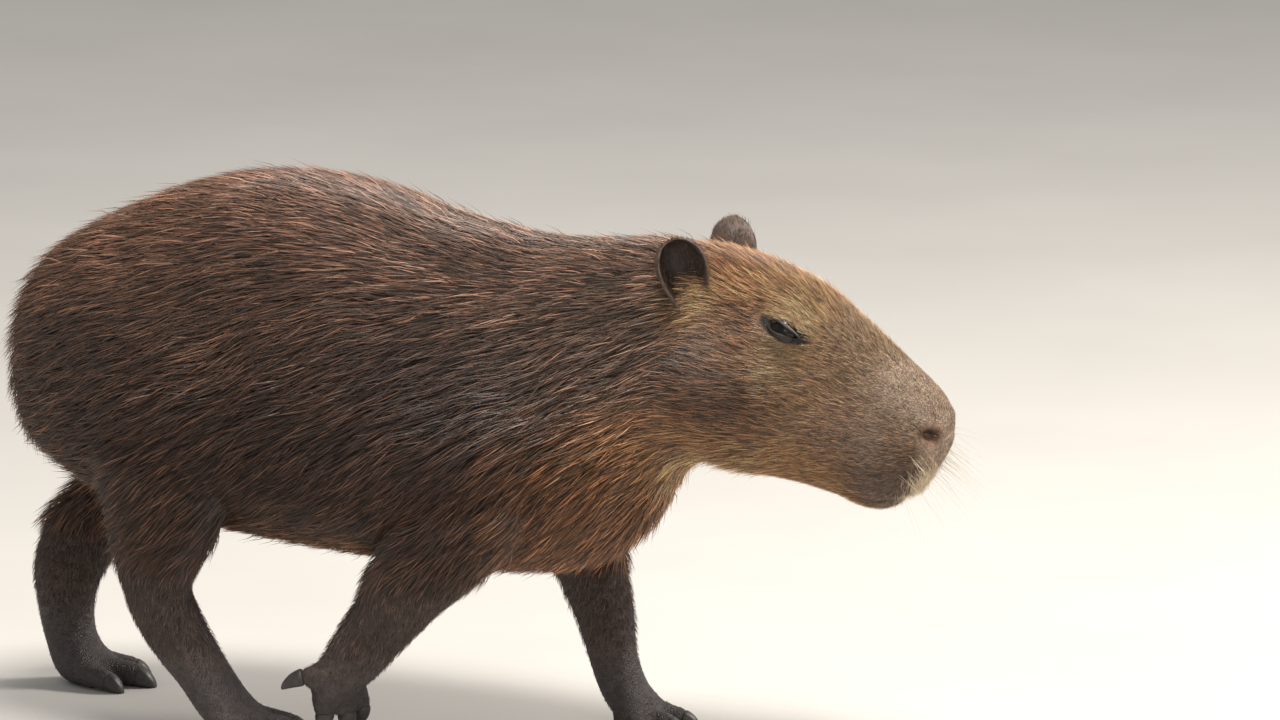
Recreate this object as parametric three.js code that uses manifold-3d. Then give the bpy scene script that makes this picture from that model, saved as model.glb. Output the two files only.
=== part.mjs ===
// A life-size capybara, a young adult in mid-walk, as a still museum model in named solids.
// Millimetres, +Z up, nose towards +X, the animal's left towards +Y, feet on Z = 0.
// The trunk, neck, head and limbs are lofts through named cross-sections, the joins between
// pieces are thin cuts, and the origin is under the middle of the whole animal's box.
import * as THREE from "three";
import { LoftGeometry } from "three/addons/geometries/LoftGeometry.js";
import { mergeVertices } from "three/addons/utils/BufferGeometryUtils.js";
import Module from "manifold-3d";

const wasm = await Module();
wasm.setup();

// Driving sizes
const GAP = 0.3; // what touching pieces keep between them
const HEAD_PITCH = THREE.MathUtils.degToRad(24); // the head hangs this far below level
const HEAD_BACK = [170, 345]; // x and z of the point the head's own frame starts from
const EYE = { along: 82, up: 57, out: 47, radius: 13, lid: 3 };
const SLIT = { half_length: 14, half_height: 4.6, reach: 17 };
const NOSTRIL = { along: 225, up: 31, out: 27, sizes: [6.5, 8, 5] };
const LIP_CLEFT = { along: 236, up: -4, length: 40, width: 2 };
const MOUTH_CUT = { depth: 7, half_width: 1.1, across: 160 };
const SCRAP = 2e4; // cubic millimetres, under which a cut piece is a loose scrap
const TRUNK_SIDES = 32;
const HEAD_SIDES = 30;
const LIMB_SIDES = 14;
const LIMB_ROOT = 48; // how far from the middle plane the upper limbs are parted from the trunk
const LIMB_CROWN = 0.7; // how high the upper limb's rounded top stands over half its breadth
const LIMB_CUT_REACH = 200; // past the flank from the limb's root
const LIMB_SQUARE = 2.2;
const LEG_OUT = 84; // about how far the legs stand from the middle plane
const TOE_SIDES = 8;
const TOE_STEEP = 0.8; // a toe that points down more than this has its sideways from the body

// A toe and its claw from the root out: [share of length, half width, half height, sink], with
// widths and heights as shares of the toe's half width and the sink in millimetres.
const TOE_SECTIONS = [
  [0.3, 1, 1, 0],
  [0.65, 0.86, 0.9, 0],
  [0.85, 0.92, 0.92, 0],
  [1, 0.72, 0.74, 0.5],
];
const CLAW_SECTIONS = [
  [0.45, 0.6, 0.62, 2],
  [0.8, 0.4, 0.36, 4.5],
  [1, 0.18, 0.14, 6.5],
];
const TOE_ROOT = { back: 6, share: 0.8 };

// Trunk and neck: upright sections from the rump forward, [x, top, low, half width].
const TRUNK = [
  [-423, 320, 292, 14],
  [-415, 348, 256, 48],
  [-398, 377, 222, 75],
  [-368, 402, 196, 97],
  [-320, 428, 176, 115],
  [-255, 452, 161, 127],
  [-185, 463, 151, 133],
  [-110, 455, 144, 133],
  [-45, 437, 138, 124],
  [10, 427, 137, 108],
  [58, 423, 142, 94],
  [98, 425, 155, 85],
  [126, 427, 178, 80],
  [144, 428, 207, 77],
  [166, 428, 232, 74],
  [200, 424, 246, 66],
  [214, 400, 270, 40],
];
const TRUNK_SQUARE = 2.15;

// Where muscle rounds the trunk out sideways: [x, z, reach along, reach up, push].
const MUSCLES = [
  [-268, 262, 88, 92, 17],
  [22, 250, 74, 88, 15],
];

// Head sections in its own frame: [along, top, low, half width, squareness].
const HEAD = [
  [-46, 60, -70, 48, 2.1],
  [-18, 82, -88, 64, 2.2],
  [14, 90, -92, 69, 2.3],
  [49, 94, -88, 69, 2.3],
  [80, 93, -81, 64, 2.4],
  [108, 88, -73, 55, 2.4],
  [135, 81, -65, 48, 2.5],
  [163, 73, -59, 44, 2.5],
  [184, 66, -55, 43, 2.6],
  [201, 60, -51, 42, 2.6],
  [212, 54, -41, 39.5, 2.5],
  [221, 47, -26, 35, 2.4],
  [227, 40, -9, 28, 2.3],
  [230, 33, 3, 19, 2.2],
];

// Swellings and hollows of the head's sides: [along, up, reach, push].
const HEAD_FORMS = [
  [40, -20, 42, 4],
  [84, 76, 20, 4],
  [118, 42, 24, -4],
  [196, -8, 26, 4],
];

// The closed mouth's line in the head's frame, from in front of the lips back to its corner.
const MOUTH = [
  [250, -12],
  [226, -26],
  [203, -39],
  [182, -44],
  [163, -41],
];

// Limbs from inside the trunk down: [x, y outwards, z, front half, back half, side half].
// The first rows down to upper belong to the thigh or upper arm, ankle is the blade that parts
// the foot as [x, z, lean in degrees], and the toes fan out from the ball of the foot.
const LIMBS = {
  right_hind: {
    names: ["thigh", "shank"],
    side: -1,
    path: [
      [-262, 66, 300, 62, 62, 44],
      [-258, 82, 238, 66, 66, 42],
      [-260, 88, 190, 55, 57, 35],
      [-267, 88, 150, 40, 44, 28],
      [-268, 86, 118, 31, 34, 22],
      [-252, 85, 86, 25, 30, 20],
      [-232, 84, 55, 22, 22, 22],
      [-214, 84, 30, 20, 19, 27],
      [-198, 84, 16, 17, 17, 31],
      [-184, 84, 12, 13, 14, 28],
    ],
    upper: 3,
    ankle: [-266, 112, 20],
    toes: [
      { from: [-198, 62, 14], to: [-162, 54, 8.5], half: 11, claw: 15 },
      { from: [-196, 84, 15], to: [-152, 84, 9.5], half: 12.5, claw: 17 },
      { from: [-202, 106, 14], to: [-166, 116, 9], half: 11.5, claw: 15 },
    ],
  },
  left_hind: {
    names: ["thigh", "shank"],
    side: 1,
    path: [
      [-268, 66, 300, 62, 62, 44],
      [-278, 82, 240, 62, 70, 42],
      [-316, 88, 196, 46, 58, 34],
      [-364, 86, 160, 34, 46, 27],
      [-406, 82, 134, 36, 38, 23],
      [-427, 79, 104, 36, 32, 21],
      [-428, 77, 70, 25, 27, 19],
      [-423, 76, 40, 20, 23, 21],
      [-412, 76, 21, 17, 24, 27],
      [-394, 76, 12, 11, 13, 28],
    ],
    upper: 3,
    ankle: [-426, 106, 0],
    toes: [
      { from: [-410, 55, 14], to: [-374, 46, 8.5], half: 10.5, claw: 14 },
      { from: [-408, 76, 15], to: [-361, 76, 9], half: 12, claw: 16 },
      { from: [-412, 97, 14], to: [-378, 108, 8.5], half: 11, claw: 14 },
    ],
  },
  right_fore: {
    names: ["upper_arm", "forearm"],
    side: -1,
    path: [
      [34, 52, 268, 52, 52, 36],
      [14, 68, 222, 54, 54, 36],
      [-18, 78, 177, 48, 48, 31],
      [-54, 83, 128, 36, 37, 24],
      [-72, 83, 103, 29, 31, 21],
      [-92, 83, 77, 24, 27, 20],
      [-109, 82, 59, 21, 20, 24],
      [-113, 81, 48, 19, 18, 26],
      [-113, 80, 38, 14, 13, 22],
    ],
    upper: 3,
    ankle: [-84, 86, -38],
    toes: [
      { from: [-106, 60, 48], to: [-101, 55, 27], half: 10, claw: 14 },
      { from: [-111, 74, 44], to: [-106, 73, 25], half: 10.5, claw: 15 },
      { from: [-120, 90, 46], to: [-118, 91, 27], half: 10.5, claw: 15 },
      { from: [-114, 98, 64], to: [-134, 104, 60], half: 9.5, claw: 18 },
    ],
  },
  left_fore: {
    names: ["upper_arm", "forearm"],
    side: 1,
    path: [
      [48, 52, 268, 52, 52, 36],
      [44, 66, 222, 52, 52, 36],
      [40, 74, 178, 44, 44, 30],
      [50, 76, 132, 34, 35, 24],
      [62, 76, 94, 26, 27, 20],
      [69, 76, 60, 20, 21, 19],
      [78, 76, 34, 18, 18, 23],
      [92, 76, 18, 14, 16, 29],
      [106, 76, 11, 11, 12, 27],
    ],
    upper: 3,
    ankle: [69, 62, 8],
    toes: [
      { from: [86, 53, 13], to: [108, 43, 7], half: 9.5, claw: 13 },
      { from: [92, 68, 14], to: [126, 63, 7.5], half: 10.5, claw: 15 },
      { from: [92, 86, 14], to: [127, 90, 7.5], half: 10.5, claw: 15 },
      { from: [84, 100, 13], to: [108, 111, 7], half: 9.5, claw: 13 },
    ],
  },
};

// Where the neck starts and ends: [x, z, lean of the cut in degrees].
const NECK_CUTS = { head: [163, 330, 8], torso: [100, 310, 14] };
const NECK_BLADE = { length: 330, width: 400 };
const ANKLE_BLADE = { length: 150, width: 180, out: 96 };

// About where the middles of the parted pieces lie
const MIDDLES = { head: [280, 0, 320], neck: [140, 0, 320], torso: [-150, 0, 300] };

// Each ear is a curled sheet of skin, from its root up: [height, curl radius, half span].
const EAR = {
  root: [1, 50, 42],
  tip: [-30, 64, 90],
  faces: [0.55, 0.8, 0.2],
  thick: 3.6,
  sections: [
    [-0.12, 12, 1.9],
    [0.12, 15, 2.0],
    [0.35, 19, 2.0],
    [0.6, 21, 1.95],
    [0.8, 18.5, 1.8],
    [0.93, 13, 1.6],
    [1, 7, 1.3],
  ],
  arc_points: 8,
};

const COLOURS = {
  coat: 0x4a2f20,
  face: 0x6b4a31,
  leg: 0x3f3029,
  foot: 0x37302e,
  ear: 0x33261f,
  eye: 0x0d0a08,
  claw: 0x2b2624,
};

const vec = (x, y, z) => new THREE.Vector3(x, y, z);

// A closed geometry as a solid that can be joined and cut.
function solid(geometry) {
  const bare = geometry.index ? geometry.toNonIndexed() : geometry.clone();
  bare.deleteAttribute("normal");
  bare.deleteAttribute("uv");
  const merged = mergeVertices(bare, 1e-3);
  return new wasm.Manifold(
    new wasm.Mesh({
      numProp: 3,
      vertProperties: merged.attributes.position.array,
      triVerts: new Uint32Array(merged.index.array),
    }),
  );
}

function largest(manifold) {
  const bodies = manifold.decompose();
  return bodies.reduce((a, b) => (b.volume() > a.volume() ? b : a));
}

function joined(solids) {
  return solids.reduce((a, b) => a.add(b));
}

// Rows of numbers drawn through a smooth curve, steps rows to each span.
function drawnThrough(rows, steps) {
  const width = rows[0].length;
  const columns = [];
  for (let c = 0; c < width; c += 3) {
    const points = rows.map((r) => vec(r[c], r[c + 1] ?? 0, r[c + 2] ?? 0));
    columns.push(new THREE.CatmullRomCurve3(points, false, "catmullrom", 0.5));
  }
  const count = (rows.length - 1) * steps;
  return Array.from({ length: count + 1 }, (_, i) =>
    columns.flatMap((curve) => curve.getPoint(i / count).toArray()).slice(0, width),
  );
}

// One closed cross-section, a rounded square that is wide to each side, rise above and drop below.
function ring(centre, side, up, wide, rise, drop, square, count) {
  const power = 2 / square;
  return Array.from({ length: count }, (_, i) => {
    const angle = (2 * Math.PI * i) / count;
    const [c, s] = [Math.cos(angle), Math.sin(angle)];
    const across = Math.sign(c) * Math.abs(c) ** power * wide;
    const height = Math.sign(s) * Math.abs(s) ** power * (s > 0 ? rise : drop);
    return centre.clone().addScaledVector(side, across).addScaledVector(up, height);
  });
}

// Skins the rings, which must run counterclockwise as seen from the loft's far end.
function lofted(rings) {
  const middle = (ring) => ring.reduce((sum, p) => sum.add(p), vec(0, 0, 0)).divideScalar(ring.length);
  const from = middle(rings[0]);
  const onward = middle(rings[1]).sub(from);
  const turn = vec(0, 0, 0);
  rings[0].forEach((p, i, ring) => {
    const next = ring[(i + 1) % ring.length];
    turn.add(p.clone().sub(from).cross(next.clone().sub(from)));
  });
  const ordered = turn.dot(onward) > 0 ? rings : rings.map((ring) => ring.slice().reverse());
  return solid(new LoftGeometry(ordered, { capStart: true, capEnd: true }));
}

// The trunk and neck, grown outwards by grow.
function trunk(grow = 0) {
  const rings = drawnThrough(TRUNK, 2).map(([x, top, low, wide]) => {
    const half = (top - low) / 2 + grow;
    const centre = vec(x, 0, (top + low) / 2);
    const [across, up] = [vec(0, 1, 0), vec(0, 0, 1)];
    const points = ring(centre, across, up, wide + grow, half, half, TRUNK_SQUARE, TRUNK_SIDES);
    points.forEach((p) => (p.y += trunkSwell(p, wide)));
    return points;
  });
  return lofted(rings);
}

function trunkSwell(p, wide) {
  const outward = Math.abs(p.y) / wide;
  const push = MUSCLES.reduce(
    (sum, [x, z, along, up, height]) =>
      sum + height * Math.exp(-(((p.x - x) / along) ** 2) - ((p.z - z) / up) ** 2),
    0,
  );
  return Math.sign(p.y) * push * outward ** 2;
}

// The head in its own frame, grown outwards by grow.
function headShape(grow = 0, sides = HEAD_SIDES, steps = 2) {
  const rings = drawnThrough(HEAD, steps).map(([along, top, low, wide, square]) => {
    const half = (top - low) / 2 + grow;
    const centre = vec(along, 0, (top + low) / 2);
    const points = ring(centre, vec(0, 1, 0), vec(0, 0, 1), wide + grow, half, half, square, sides);
    points.forEach((p) => {
      const push = HEAD_FORMS.reduce(
        (sum, [s, t, reach, height]) =>
          sum + height * Math.exp(-((p.x - s) ** 2 + (p.z - t) ** 2) / reach ** 2),
        0,
      );
      p.y += Math.sign(p.y) * push * (Math.abs(p.y) / wide);
    });
    return points;
  });
  return lofted(rings);
}

const headFrame = new THREE.Matrix4()
  .makeRotationY(HEAD_PITCH)
  .setPosition(HEAD_BACK[0], 0, HEAD_BACK[1]);

const toBody = (manifold) => manifold.transform(headFrame.elements);

function ball(at, sizes, across = 14, down = 10) {
  const shape = new THREE.SphereGeometry(1, across, down);
  return solid(shape.scale(...sizes).translate(...at));
}

// The mouth's line and the cleft of the upper lip, cut only skin deep.
function mouthCuts() {
  const { depth, half_width: half, across } = MOUTH_CUT;
  const line = new THREE.CatmullRomCurve3(MOUTH.map(([s, t]) => vec(s, t, 0)));
  const points = line.getPoints(7);
  const shape = new THREE.Shape([
    ...points.map((p) => new THREE.Vector2(p.x, p.y + half)),
    ...points.reverse().map((p) => new THREE.Vector2(p.x, p.y - half)),
  ]);
  const band = new THREE.ExtrudeGeometry(shape, { depth: across, bevelEnabled: false });
  band.translate(0, 0, -across / 2).rotateX(Math.PI / 2);
  const { along, up, length, width } = LIP_CLEFT;
  const cleft = new THREE.BoxGeometry(length, width, length).translate(along, 0, up);
  return solid(band).add(solid(cleft)).subtract(headShape(-depth, 12, 1));
}

function lidded(head, side) {
  const at = [EYE.along, side * EYE.out, EYE.up];
  const lids = ball(at, Array(3).fill(EYE.radius + EYE.lid), 16, 12);
  const socket = ball(at, Array(3).fill(EYE.radius + GAP), 14, 10);
  const slitAt = [EYE.along, side * (EYE.out + SLIT.reach), EYE.up];
  const slit = ball(slitAt, [SLIT.half_length, SLIT.reach, SLIT.half_height], 12, 8);
  return head.add(lids).subtract(socket).subtract(slit);
}

function earShape(side) {
  const root = vec(EAR.root[0], side * EAR.root[1], EAR.root[2]);
  const rise = vec(EAR.tip[0], side * EAR.tip[1], EAR.tip[2]).sub(root);
  const up = rise.clone().normalize();
  const faces = vec(EAR.faces[0], side * EAR.faces[1], EAR.faces[2]);
  faces.addScaledVector(up, -faces.dot(up)).normalize();
  const across = new THREE.Vector3().crossVectors(up, faces);
  const rings = drawnThrough(EAR.sections, 2).map(([height, radius, span]) => {
    const centre = root.clone().addScaledVector(rise, height);
    const arc = (r, from, to) =>
      Array.from({ length: EAR.arc_points }, (_, i) => {
        const angle = from + ((to - from) * i) / (EAR.arc_points - 1);
        return centre
          .clone()
          .addScaledVector(faces, -r * Math.cos(angle))
          .addScaledVector(across, r * Math.sin(angle));
      });
    return [...arc(radius, -span, span), ...arc(radius - EAR.thick, span * 0.94, -span * 0.94)];
  });
  return lofted(rings);
}

// A limb's sections stand square to its path, and forward points out of its front edge.
function limbSections(path, side) {
  const rows = drawnThrough(path, 2);
  const centres = rows.map(([x, y, z]) => vec(x, side * y, z));
  return rows.map(([, , , front, back, wide], i) => {
    const before = centres[Math.max(i - 1, 0)];
    const after = centres[Math.min(i + 1, centres.length - 1)];
    const along = after.clone().sub(before).normalize();
    const forward = new THREE.Vector3().crossVectors(along, vec(0, 1, 0)).normalize();
    const sideways = new THREE.Vector3().crossVectors(along, forward).normalize();
    return { centre: centres[i], forward, sideways, front, back, wide };
  });
}

function limbShape({ path, side }) {
  return lofted(
    limbSections(path, side).map(({ centre, forward, sideways, front, back, wide }) =>
      ring(centre, sideways, forward, wide, front, back, LIMB_SQUARE, LIMB_SIDES),
    ),
  );
}

// The limb's outline from the side down to its upper joint, carried outwards from near the
// middle of the trunk: what lies inside it is the thigh or upper arm.
function upperLimbCutter({ path, side, upper }, grow) {
  const sections = limbSections(path.slice(0, upper + 1), side);
  const edge = (sign, reach) =>
    sections.map(({ centre, forward, [reach]: half }, i) => {
      const out = sign * (half + grow);
      const on = i === sections.length - 1 ? grow : 0;
      const [dx, dz] = [forward.x * out + forward.z * on, forward.z * out - forward.x * on];
      return new THREE.Vector2(centre.x + dx, centre.z + dz);
    });
  const [front, back] = [edge(1, "front"), edge(-1, "back")];
  const { centre } = sections[0];
  const radius = front[0].distanceTo(back[0]) / 2;
  const top = Array.from({ length: 5 }, (_, i) => {
    const angle = (Math.PI * (i + 1)) / 6;
    const crown = radius * LIMB_CROWN * Math.sin(angle);
    return new THREE.Vector2(centre.x - radius * Math.cos(angle), centre.z + crown);
  });
  const shape = new THREE.Shape([...front.reverse(), ...top.reverse(), ...back]);
  const inner = LIMB_ROOT - grow;
  const prism = new THREE.ExtrudeGeometry(shape, { depth: LIMB_CUT_REACH, bevelEnabled: false });
  prism.rotateX(Math.PI / 2).translate(0, side > 0 ? inner + LIMB_CUT_REACH : -inner, 0);
  return solid(prism);
}

// A toe, and the blunt claw that caps it with the gap between them.
function toeShapes({ from, to, half, claw }, side) {
  const start = vec(from[0], side * from[1], from[2]);
  const end = vec(to[0], side * to[1], to[2]);
  const along = end.clone().sub(start).normalize();
  const level = Math.abs(along.z) < TOE_STEEP;
  const sideways = level
    ? new THREE.Vector3().crossVectors(vec(0, 0, 1), along).normalize()
    : vec(0, 1, 0);
  const up = new THREE.Vector3().crossVectors(along, sideways).normalize();
  const length = end.distanceTo(start);
  const section = (far, wide, high, sink) => {
    const centre = start.clone().addScaledVector(along, far).addScaledVector(up, -sink);
    const [width, height] = [half * wide, half * high];
    return ring(centre, sideways, up, width, height, height, LIMB_SQUARE, TOE_SIDES);
  };
  const [, wide, high, sink] = TOE_SECTIONS.at(-1);
  const toe = lofted([
    section(-TOE_ROOT.back, TOE_ROOT.share, TOE_ROOT.share, 0),
    ...TOE_SECTIONS.map(([share, ...rest]) => section(length * share, ...rest)),
  ]);
  const nail = lofted([
    section(length + GAP, wide, high, sink),
    ...CLAW_SECTIONS.map(([share, ...rest]) => section(length + claw * share, ...rest)),
  ]);
  return { toe, nail };
}

const material = (colour, roughness) =>
  new THREE.MeshStandardMaterial({ color: colour, roughness, metalness: 0 });

const animal = new THREE.Group();
animal.name = "capybara";

function addNode(name, manifold, colour, roughness = 0.85) {
  const mesh = manifold.getMesh();
  const positions = new Float32Array(mesh.numVert * 3);
  for (let i = 0; i < mesh.numVert; i++)
    positions.set(mesh.vertProperties.subarray(i * mesh.numProp, i * mesh.numProp + 3), i * 3);
  const geometry = new THREE.BufferGeometry()
    .setAttribute("position", new THREE.BufferAttribute(positions, 3))
    .setIndex(new THREE.BufferAttribute(mesh.triVerts, 1));
  geometry.computeVertexNormals();
  const node = new THREE.Mesh(geometry, material(colour, roughness));
  node.name = name;
  animal.add(node);
}

// A thin blade seen edge on from the side, turned by lean from level about the point [x, z].
function blade([x, z, lean], length, y, width) {
  const shape = new THREE.BoxGeometry(length, width, GAP);
  shape.rotateY(THREE.MathUtils.degToRad(-lean)).translate(x, y, z);
  return solid(shape);
}

// Head with sockets, lids, nostrils and mouth
let head = headShape();
for (const side of [-1, 1]) {
  head = lidded(head, side);
  const at = [NOSTRIL.along, side * NOSTRIL.out, NOSTRIL.up];
  head = head.subtract(ball(at, NOSTRIL.sizes, 10, 6));
}
head = head.subtract(mouthCuts());

// Claws, ears and eyes are pieces of their own. The rest of the body is parted by cutters.
const claws = {};
const flesh = [trunk(), toBody(head)];
const blades = Object.values(NECK_CUTS).map(([x, z, lean]) =>
  blade([x, z, 90 + lean], NECK_BLADE.length, 0, NECK_BLADE.width),
);
for (const [name, limb] of Object.entries(LIMBS)) {
  const toes = limb.toes.map((toe) => toeShapes(toe, limb.side));
  claws[name] = toes.map(({ nail }) => nail.trimByPlane([0, 0, 1], 0));
  flesh.push(limbShape(limb), ...toes.map(({ toe }) => toe));
  const { length, width, out } = ANKLE_BLADE;
  blades.push(blade(limb.ankle, length, limb.side * out, width));
}
let whole = joined(flesh).trimByPlane([0, 0, 1], 0).subtract(joined(blades));
for (const [name, limb] of Object.entries(LIMBS)) {
  const upper = whole.intersect(upperLimbCutter(limb, 0));
  addNode(`${name}_${limb.names[0]}`, largest(upper), COLOURS.coat);
  whole = whole.subtract(upperLimbCutter(limb, GAP));
}
const pieces = whole.decompose();

// The piece whose box's middle is nearest to a point, loose scraps apart
function pieceNear(x, y, z) {
  const away = (piece) => {
    const { min, max } = piece.boundingBox();
    return Math.hypot(...[x, y, z].map((v, i) => v - (min[i] + max[i]) / 2));
  };
  return pieces.filter((p) => p.volume() > SCRAP).reduce((a, b) => (away(b) < away(a) ? b : a));
}

addNode("head", pieceNear(...MIDDLES.head), COLOURS.face);
addNode("neck", pieceNear(...MIDDLES.neck), COLOURS.coat);
addNode("torso", pieceNear(...MIDDLES.torso), COLOURS.coat);
for (const [name, limb] of Object.entries(LIMBS)) {
  const [x, z] = limb.ankle;
  const [legX, , legZ] = limb.path[limb.upper];
  const leg = pieceNear((x + legX) / 2, limb.side * LEG_OUT, (z + legZ) / 2);
  const foot = pieceNear((x + limb.toes[0].to[0]) / 2, limb.side * LEG_OUT, z / 2);
  addNode(`${name}_${limb.names[1]}`, leg, COLOURS.leg);
  addNode(`${name}_foot`, foot, COLOURS.foot, 0.7);
  claws[name].forEach((claw, i) => addNode(`${name}_claw_${i + 1}`, largest(claw), COLOURS.claw, 0.45));
}

for (const side of [-1, 1]) {
  const name = side < 0 ? "right" : "left";
  const ear = largest(toBody(earShape(side).subtract(headShape(GAP))).subtract(trunk(GAP)));
  addNode(`${name}_ear`, ear, COLOURS.ear, 0.7);
  const eye = ball([EYE.along, side * EYE.out, EYE.up], Array(3).fill(EYE.radius), 14, 10);
  addNode(`${name}_eye`, toBody(eye), COLOURS.eye, 0.15);
}

const box = new THREE.Box3().setFromObject(animal);
const middle = box.getCenter(vec(0, 0, 0));
animal.position.set(-middle.x, -middle.y, -box.min.z);

export default animal;
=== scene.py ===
"""A life-size capybara in mid-walk, dressed over its solid model: skin, coat, eyes, ears, claws.

Shapes are worked out in millimetres in the animal's own frame, nose towards +X, its left
towards +Y and the floor at Z = 0, and are moved onto the solid model at the end.
"""

import bmesh
import bpy
import numpy as np
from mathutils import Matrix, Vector


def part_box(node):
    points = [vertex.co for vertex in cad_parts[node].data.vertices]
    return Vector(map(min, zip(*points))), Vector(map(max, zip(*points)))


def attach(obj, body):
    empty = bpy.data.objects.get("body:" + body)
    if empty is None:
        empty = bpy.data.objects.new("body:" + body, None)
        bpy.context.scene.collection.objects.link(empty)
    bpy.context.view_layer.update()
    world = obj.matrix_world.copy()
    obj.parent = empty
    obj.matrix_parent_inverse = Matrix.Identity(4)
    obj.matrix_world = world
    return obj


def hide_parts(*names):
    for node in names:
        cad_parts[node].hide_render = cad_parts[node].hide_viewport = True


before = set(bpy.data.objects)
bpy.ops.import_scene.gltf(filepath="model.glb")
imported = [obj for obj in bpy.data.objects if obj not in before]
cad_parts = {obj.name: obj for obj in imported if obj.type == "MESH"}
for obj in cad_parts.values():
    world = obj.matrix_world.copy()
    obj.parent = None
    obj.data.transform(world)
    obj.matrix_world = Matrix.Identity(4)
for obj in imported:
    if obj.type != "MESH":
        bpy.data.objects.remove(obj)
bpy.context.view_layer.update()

bl_info = {
    "name": "Walking Capybara",
    "version": (1, 0, 0),
    "blender": (4, 5, 0),
    "location": "View3D > Sidebar > Capybara",
    "description": "Dresses the solid capybara with skin, coat, eyes, ears and claws",
    "category": "Object",
}

MM = 0.001
PATCH = 0.003  # how wide each tuft lies on the bake map

# The solid model's driving sizes, in millimetres
HEAD_PITCH = np.radians(24)
HEAD_BACK = np.array([170.0, 0.0, 345.0])
EYE = {"along": 82, "up": 57, "out": 47, "radius": 13}

# Trunk and neck: upright sections from the rump forward, [x, top, low, half width].
TRUNK = [
    [-423, 320, 292, 14],
    [-415, 348, 256, 48],
    [-398, 377, 222, 75],
    [-368, 402, 196, 97],
    [-320, 428, 176, 115],
    [-255, 452, 161, 127],
    [-185, 463, 151, 133],
    [-110, 455, 144, 133],
    [-45, 437, 138, 124],
    [10, 427, 137, 108],
    [58, 423, 142, 94],
    [98, 425, 155, 85],
    [126, 427, 178, 80],
    [144, 428, 207, 77],
    [166, 428, 232, 74],
    [200, 424, 246, 66],
    [214, 400, 270, 40],
]
TRUNK_SQUARE = 2.15
MUSCLES = [[-268, 262, 88, 92, 17], [22, 250, 74, 88, 15]]

# Head sections in its own frame: [along, top, low, half width, squareness].
HEAD = [
    [-46, 60, -70, 48, 2.1],
    [-18, 82, -88, 64, 2.2],
    [14, 90, -92, 69, 2.3],
    [49, 94, -88, 69, 2.3],
    [80, 93, -81, 64, 2.4],
    [108, 88, -73, 55, 2.4],
    [135, 81, -65, 48, 2.5],
    [163, 73, -59, 44, 2.5],
    [184, 66, -55, 43, 2.6],
    [201, 60, -51, 42, 2.6],
    [212, 54, -41, 39.5, 2.5],
    [221, 47, -26, 35, 2.4],
    [227, 40, -9, 28, 2.3],
    [230, 33, 3, 19, 2.2],
]
HEAD_FORMS = [[40, -20, 42, 4], [84, 76, 20, 4], [118, 42, 24, -4], [196, -8, 26, 4]]

# What the skin's face adds to these: place along, out and up, reach each way, height.
FACE_FORMS = {
    "nostril": [(222, 25, 31), (7.5, 8, 4.6), -10.0],
    "nostril wing": [(219, 28, 39), (9, 8, 4), 1.6],
    "brow": [(84, 48, 77), (24, 12, 7), 2.5],
    "hollow before the eye": [(112, 52, 50), (14, 16, 10), -2.0],
    "fold under the eye": [(84, 58, 38), (22, 12, 3.5), -1.2],
    "fold behind the eye": [(60, 58, 60), (12, 14, 3), -1.4],
}
MOUTH = [[250, -12], [226, -26], [203, -39], [182, -44], [163, -41]]
NOSTRIL = np.array([222.0, 25.0, 31.0])  # along, out and up

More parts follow.
